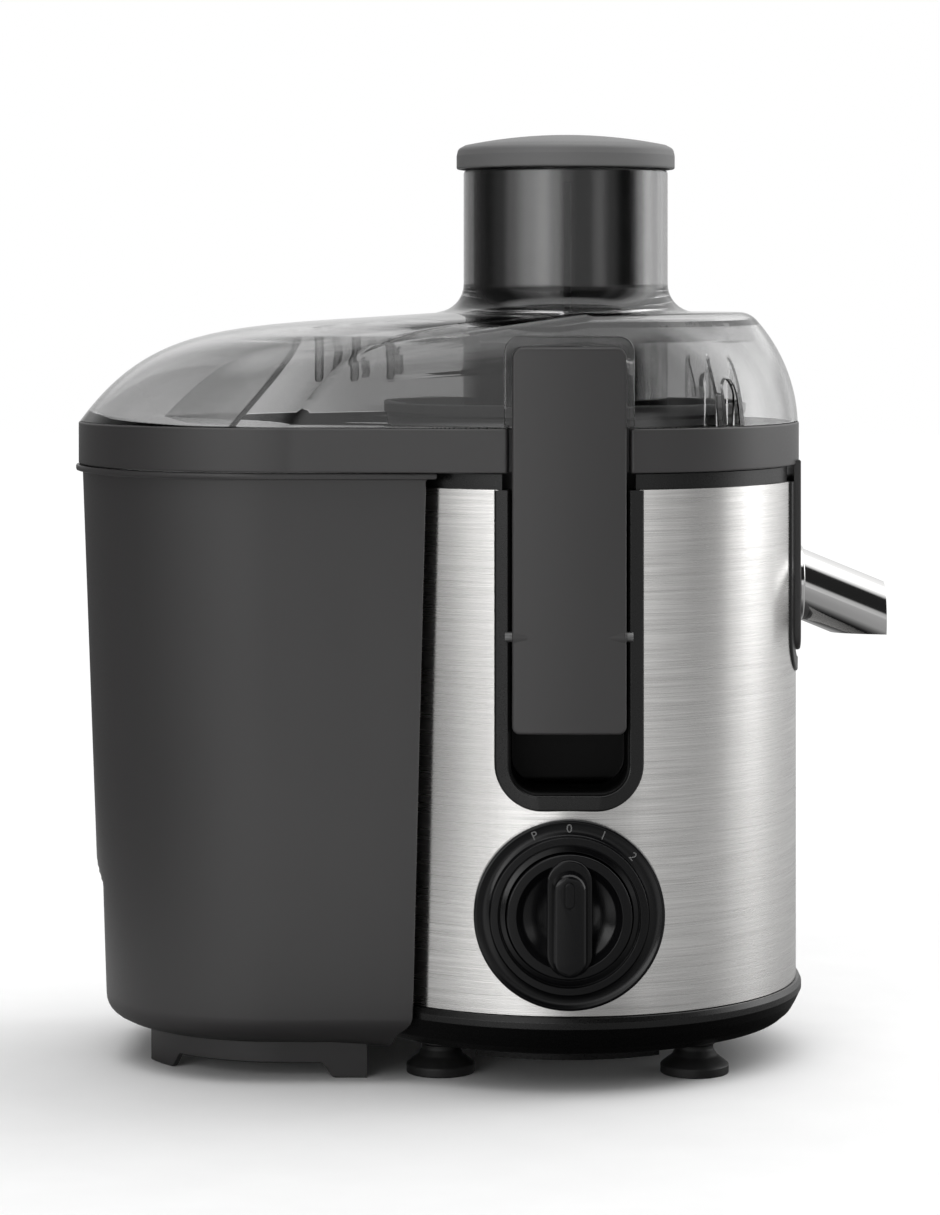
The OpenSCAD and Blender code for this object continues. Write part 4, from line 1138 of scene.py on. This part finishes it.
def pusher():
    """The pusher: a hollow cup with a key groove, under a domed cap with a soft edge."""
    r = pusher_high.x
    low = pusher_low.z
    top = pusher_high.z
    section = filleted([(0.01, low, 0), (r, low, 1.4), (r, top, 0.2), (r - 2.2, top, 0.2),
                        (r - 2.2, low + 2.2, 1), (0.01, low + 2.2, 0)])
    groove = rectangle(-2.2, 2.2, -r - 1, -r + 1.2)
    body = Solid().lathe(section, steps=192)
    piece("pusher_cup", body, "pusher", PUSHER, [Solid().prism(groove, low - 1, top + 1)],
          ["pusher_body"])
    cap_r = cap_high.x
    high = cap_high.z
    base = CAP_LOW
    across = [(cap_r - 3.4) * k / 12 for k in range(13)]
    dome = [(0.01 + x, high - CAP_RISE * (x / (cap_r - 3)) ** 2) for x in across]
    edge = filleted([(*dome[-1], 0), (cap_r - 0.6, high - 5.6, 2.4), (cap_r, high - 8.4, 1.5),
                     (cap_r, base, 0.8), (cap_r - 2, base, 0.5), (cap_r - 2, base + 1.4, 0.4),
                     (r - 2.4, base + 1.4, 0), (r - 2.4, 340, 0.6), (r - 4.2, 340, 0.6),
                     (r - 4.2, base + 1.4, 0), (0.01, base + 1.4, 0)], steps=5)
    section = [Vector(p) for p in dome[:-1]] + edge
    piece("pusher_lid_cap", Solid().lathe(section, steps=192), "pusher", CAP_GREY,
          replaced=["pusher_cap"], crease=40)


# ------------------------------------------------------------------ pulp container

CONTAINER_WALL = 2.3
RIM_OUT = 2.6
CONTAINER_HALF = container_high.y - RIM_OUT
CONTAINER_REACH = -container_low.x - RIM_OUT
CONTAINER_TOP = container_high.z
CONTAINER_LOW = 14.7
CONTAINER_EDGE = 11
HUG = 96
DRAFT_SIDE = 0.018
DRAFT_REAR = 0.0362
RECESS_TOP = 79
RECESS_KNEE = 68
RECESS_X = -182
CORNER_SHARPNESS = 0.75
SKIRT_R = 60.3
SKIRT_LOW = 5.6
SKIRT_WALL = 1.2
SKIRT_FRONT = -77
LUG_LENGTH = 15
LUG_RAMP = 5
REAR_LUG_START = 209
REAR_LUG_END = 226


def recess_x(z):
    """How far back the finger recess lets the wall reach, at a height."""
    if z >= RECESS_TOP:
        return -400.0
    if z >= RECESS_KNEE:
        return RECESS_X - 6.5 * (z - RECESS_KNEE) / (RECESS_TOP - RECESS_KNEE)
    return RECESS_X + 2 * (RECESS_KNEE - z) / RECESS_KNEE



def container_outline(z, depth):
    """The container's plan at a height, moved inwards by depth."""
    down = CONTAINER_TOP - z
    half = CONTAINER_HALF - DRAFT_SIDE * down - depth
    reach = CONTAINER_REACH - DRAFT_REAR * down - depth
    back = CONTAINER_REACH - CONTAINER_HALF
    hug = HUG + max(0.0, min(depth, CONTAINER_WALL))
    # the rounding of the lower edge fades out towards the front, so that corner stays crisp
    corner = half + CORNER_SHARPNESS * max(0.0, depth - CONTAINER_WALL)
    front = -math.sqrt(hug ** 2 - corner ** 2)
    side = [Vector((front - 0.9, corner)), Vector((front - 4, corner)), Vector((-90, half))]
    rear = []
    for k in range(97):
        a = math.radians(90 + 180 * k / 96)
        x = -back + (reach - back) * math.cos(a)
        rear.append(Vector((max(x, recess_x(z) + depth), half * math.sin(a))))
    near = [Vector((p.x, -p.y)) for p in reversed(side)]
    lean = math.degrees(math.asin(corner / hug))
    inner = arc((0, 0), hug, 180 + lean - 0.5, 180 - lean + 0.5, 48)
    return side + rear + near + inner


def container():
    """The pulp container: a deep drafted cup that hugs the base, with a proud rim band."""
    low, top, edge, wall = CONTAINER_LOW, CONTAINER_TOP, CONTAINER_EDGE, CONTAINER_WALL
    # each level is a height and how far in from the outer wall the cup's surface is there
    profile = [(low + edge * (1 - math.cos(a)), edge * (1 - math.sin(a)))
               for a in [math.radians(90 * k / 8) for k in range(9)]]
    profile += [(z, 0) for z in (32, 42, 52, 60, 66, 67.4, 68.6, 70, 72, 74, 76, 77.6, 79, 80.4,
                                 82)]
    profile += [(82 + (top - 3.2 - 82) * k / 16, 0) for k in range(1, 17)]
    band = top - 2.4
    profile += [(band - 0.4, -0.15), (band, -0.5), (band, -RIM_OUT + 0.7),
                (band + 0.2, -RIM_OUT + 0.15), (band + 0.7, -RIM_OUT), (top - 0.7, -RIM_OUT),
                (top - 0.2, -RIM_OUT + 0.2), (top, -RIM_OUT + 0.7), (top, wall - 0.5),
                (top - 0.5, wall)]
    profile += [(z, wall) for z in (200, 160, 120, 90, 80, 76, 72, 68, 60, 45, 30)]
    profile += [(low + wall + (edge - wall) * (1 - math.sin(a)),
                 wall + (edge - wall) * (1 - math.cos(a)))
                for a in [math.radians(90 * k / 6) for k in range(7)]]
    rings = [[Vector((p.x, p.y, z)) for p in container_outline(z, depth)] for z, depth in profile]
    piece("container_cup", Solid().skin(rings), "container", DARK_GREY,
          replaced=["pulp_container"], crease=30)
    container_skirt()


def lug_level(into_lug):
    """The lower edge of the skirt, at a distance into a lug: it dips to the floor there."""
    share = min(1.0, max(0.0, into_lug / LUG_RAMP + 0.5))
    return SKIRT_LOW * (1 - share * share * (3 - 2 * share))


def container_skirt():
    """The skirt under the container: two strips that dip to the floor at their lugs."""
    top = CONTAINER_LOW + 1
    wall = SKIRT_WALL
    # each step is a place on the skirt, the direction out of it, and how far into a lug it is
    path = []
    for k in range(61):
        a = math.radians(REAR_LUG_START + (270 - REAR_LUG_START) * k / 60)
        path.append((-REAR_D + SKIRT_R * math.cos(a), SKIRT_R * math.sin(a), math.cos(a),
                     math.sin(a), SKIRT_R * (math.radians(REAR_LUG_END) - a)))
    for k in range(1, 25):
        x = -REAR_D + (REAR_D + SKIRT_FRONT) * k / 24
        path.append((x, -SKIRT_R, 0.0, -1.0, x - SKIRT_FRONT + LUG_LENGTH))
    for side, tag in ((-1, "near"), (1, "far")):
        rings = []
        for x, y, across_x, across_y, into_lug in path:
            low = lug_level(into_lug)
            section = [(wall, low + 0.5), (wall, top), (-wall, top), (-wall, low + 0.5),
                       (-wall + 0.5, low), (wall - 0.5, low)]
            rings.append([Vector((x + across_x * w, -side * (y + across_y * w), z))
                          for w, z in section])
        piece("container_skirt_" + tag, Solid().skin(rings), "container", DARK_GREY, crease=40)


# ------------------------------------------------------------------ floor, light and camera

FLOOR_HALF = 6.0
# how brightly the floor lights the object, from 0.5 m to its left to 0.5 m to its right
FLOOR_BOUNCE = {0.0: 0.12, 0.3: 0.7, 0.44: 1.1, 0.55: 0.3, 0.7: 0.42, 1.0: 0.5}


def floor():
    """A plain pale floor: white to look at, with less bounce than white paper would give."""
    mesh = bpy.data.meshes.new("floor")
    half = FLOOR_HALF
    mesh.from_pydata([(-half, -half, 0), (half, -half, 0), (half, half, 0), (-half, half, 0)], [],
                     [(0, 1, 2, 3)])
    obj = bpy.data.objects.new("floor", mesh)
    bpy.context.scene.collection.objects.link(obj)
    look = Look("floor_paper", {"Roughness": 0.9, "Specular IOR Level": 0.1})
    tree = look.tree
    look.dye(look.noise(30, 3), (0.9, 0.9, 0.9), (0.92, 0.92, 0.92))
    place = look.place()
    reach = add(tree, "ShaderNodeVectorMath", {"operation": "LENGTH"}, {0: place}).outputs["Value"]
    white = add(tree, "ShaderNodeEmission", {"Strength": 1.05})
    seen = add(tree, "ShaderNodeMixShader",
               links={0: map_range(tree, reach, 0.5, 1.2), 1: look.shader.outputs[0],
                      2: white.outputs[0]})
    side = add(tree, "ShaderNodeSeparateXYZ", links={0: place})
    across = levels(tree, map_range(tree, side.outputs["X"], -0.5, 0.5), FLOOR_BOUNCE)
    under = map_range(tree, reach, 0.13, 0.24, 0.04, 1.0)
    dim = add(tree, "ShaderNodeEmission",
              links={"Strength": calculate(tree, "MULTIPLY", across, under)})
    path = add(tree, "ShaderNodeLightPath")
    look.mix_into_surface(path.outputs["Is Camera Ray"], dim.outputs[0], seen.outputs[0])
    mesh.materials.append(look.material)


# brightness of the studio's low and high walls, by the angle from the camera towards the right
LOW_WALLS = {-180: 0.8, -150: 0.35, -125: 0.15, -100: 0.06, -78: 0.3, -65: 1.1, -42: 2.6,
             -26: 3.5, -12: 2.2, 0: 0.9, 13: 0.5, 25: 0.5, 38: 1.15, 52: 0.4, 68: 0.0, 80: 0.0,
             92: 1.6, 104: 3.4, 125: 1.7, 145: 0.7, 165: 0.6, 180: 0.8}
HIGH_WALLS = {-180: 1.0, -150: 0.6, -125: 0.25, -100: 0.04, -76: 0.04, -60: 0.4, -42: 1.0,
              -26: 1.5, -12: 1.0, 2: 0.02, 45: 0.02, 55: 0.3, 68: 0.1, 82: 0.8, 95: 2.4,
              108: 3.2, 125: 1.9, 145: 1.2, 165: 1.0, 180: 1.0}
OVERHEAD = 2.2


def studio():
    """Bright panels round the object, with dark gaps between them, under a white ceiling."""
    world = bpy.data.worlds.new("studio")
    bpy.context.scene.world = world
    world.use_nodes = True
    tree = world.node_tree
    back = tree.nodes["Background"]
    back.inputs["Color"].default_value = (1, 1, 1, 1)
    place = add(tree, "ShaderNodeTexCoord")
    split = add(tree, "ShaderNodeSeparateXYZ", links={0: place.outputs["Generated"]})
    ahead = calculate(tree, "MULTIPLY", split.outputs["Y"], -1.0)
    angle = calculate(tree, "ARCTAN2", split.outputs["X"], ahead)
    share = map_range(tree, angle, -math.pi, math.pi)
    low, high = [levels(tree, share, {(a + 180) / 360: v for a, v in walls.items()})
                 for walls in (LOW_WALLS, HIGH_WALLS)]
    climb = map_range(tree, split.outputs["Z"], 0.14, 0.26, interpolation="SMOOTHSTEP")
    both = add(tree, "ShaderNodeMix", {"data_type": "FLOAT"}, {0: climb, 2: low, 3: high})
    height = map_range(tree, split.outputs["Z"], 0.78, 0.92, interpolation="SMOOTHSTEP")
    over = add(tree, "ShaderNodeMix", {"data_type": "FLOAT", 3: OVERHEAD},
               {0: height, 2: both.outputs[0]})
    path = add(tree, "ShaderNodeLightPath")
    seen = add(tree, "ShaderNodeMix", {"data_type": "FLOAT", 3: 1.0},
               {0: path.outputs["Is Camera Ray"], 2: over.outputs[0]})
    tree.links.new(seen.outputs[0], back.inputs["Strength"])


LENS = 105.579259
SHIFT = -0.2611934
CAMERA_PLACE = Vector((-21.3, -1425, 301.6))
CAMERA_YAW = 0.6801276


def camera():
    """A level long lens in front of the near side, shifted so that uprights stay parallel."""
    data = bpy.data.cameras.new("camera")
    data.sensor_width = 36
    data.lens = LENS
    data.shift_y = SHIFT
    data.clip_start, data.clip_end = 0.05, 50
    obj = bpy.data.objects.new("camera", data)
    obj.location = AXIS + CAMERA_PLACE * MM
    obj.rotation_euler = (math.pi / 2, 0, math.radians(CAMERA_YAW))
    bpy.context.scene.collection.objects.link(obj)
    bpy.context.scene.camera = obj


# ------------------------------------------------------------------ putting it together


def finish_frame():
    """Gives every CAD node the finish of its slot."""
    finishes = [DARK_GREY, CAP_GREY, BLACK, CONTROL_BLACK, PUSHER, STEEL_WRAP, RUBBER, CLEAR,
                CHROME, PLAIN_STEEL, FILTER_STEEL, IRON, COPPER, BRASS, CARBON, BOARD]
    by_slot = {slot: (material, slot) for material, slot in finishes}
    for row in frame["record"]["subparts"]:
        finish_cad(by_slot[row["material_slot"]], row["node"])
    finish_cad(PIN_STEEL, "latch_pins")


finish_frame()
base_wrap()
base_foot_ring()
feet()
latch_surround("latch_near", to_near, "latch_frame_near")
latch_surround("latch_far", to_far, "latch_frame_far")
lapped_bezel("spout_surround", to_front, "spout_frame", spout_frame_low.z, spout_frame_high.z, 15,
             spout_frame_low.z + 6, 6)
knob_surround()
dial()
dial_marks()
latch("arm_near", to_near, "latch_near", "latch_arm_near")
latch("arm_far", to_far, "latch_far", "latch_arm_far")
collector()
spout()
lid()
deflector()
basket_rim()
pusher()
container()
floor()
studio()
camera()
bpy.context.scene.view_settings.view_transform = "Standard"
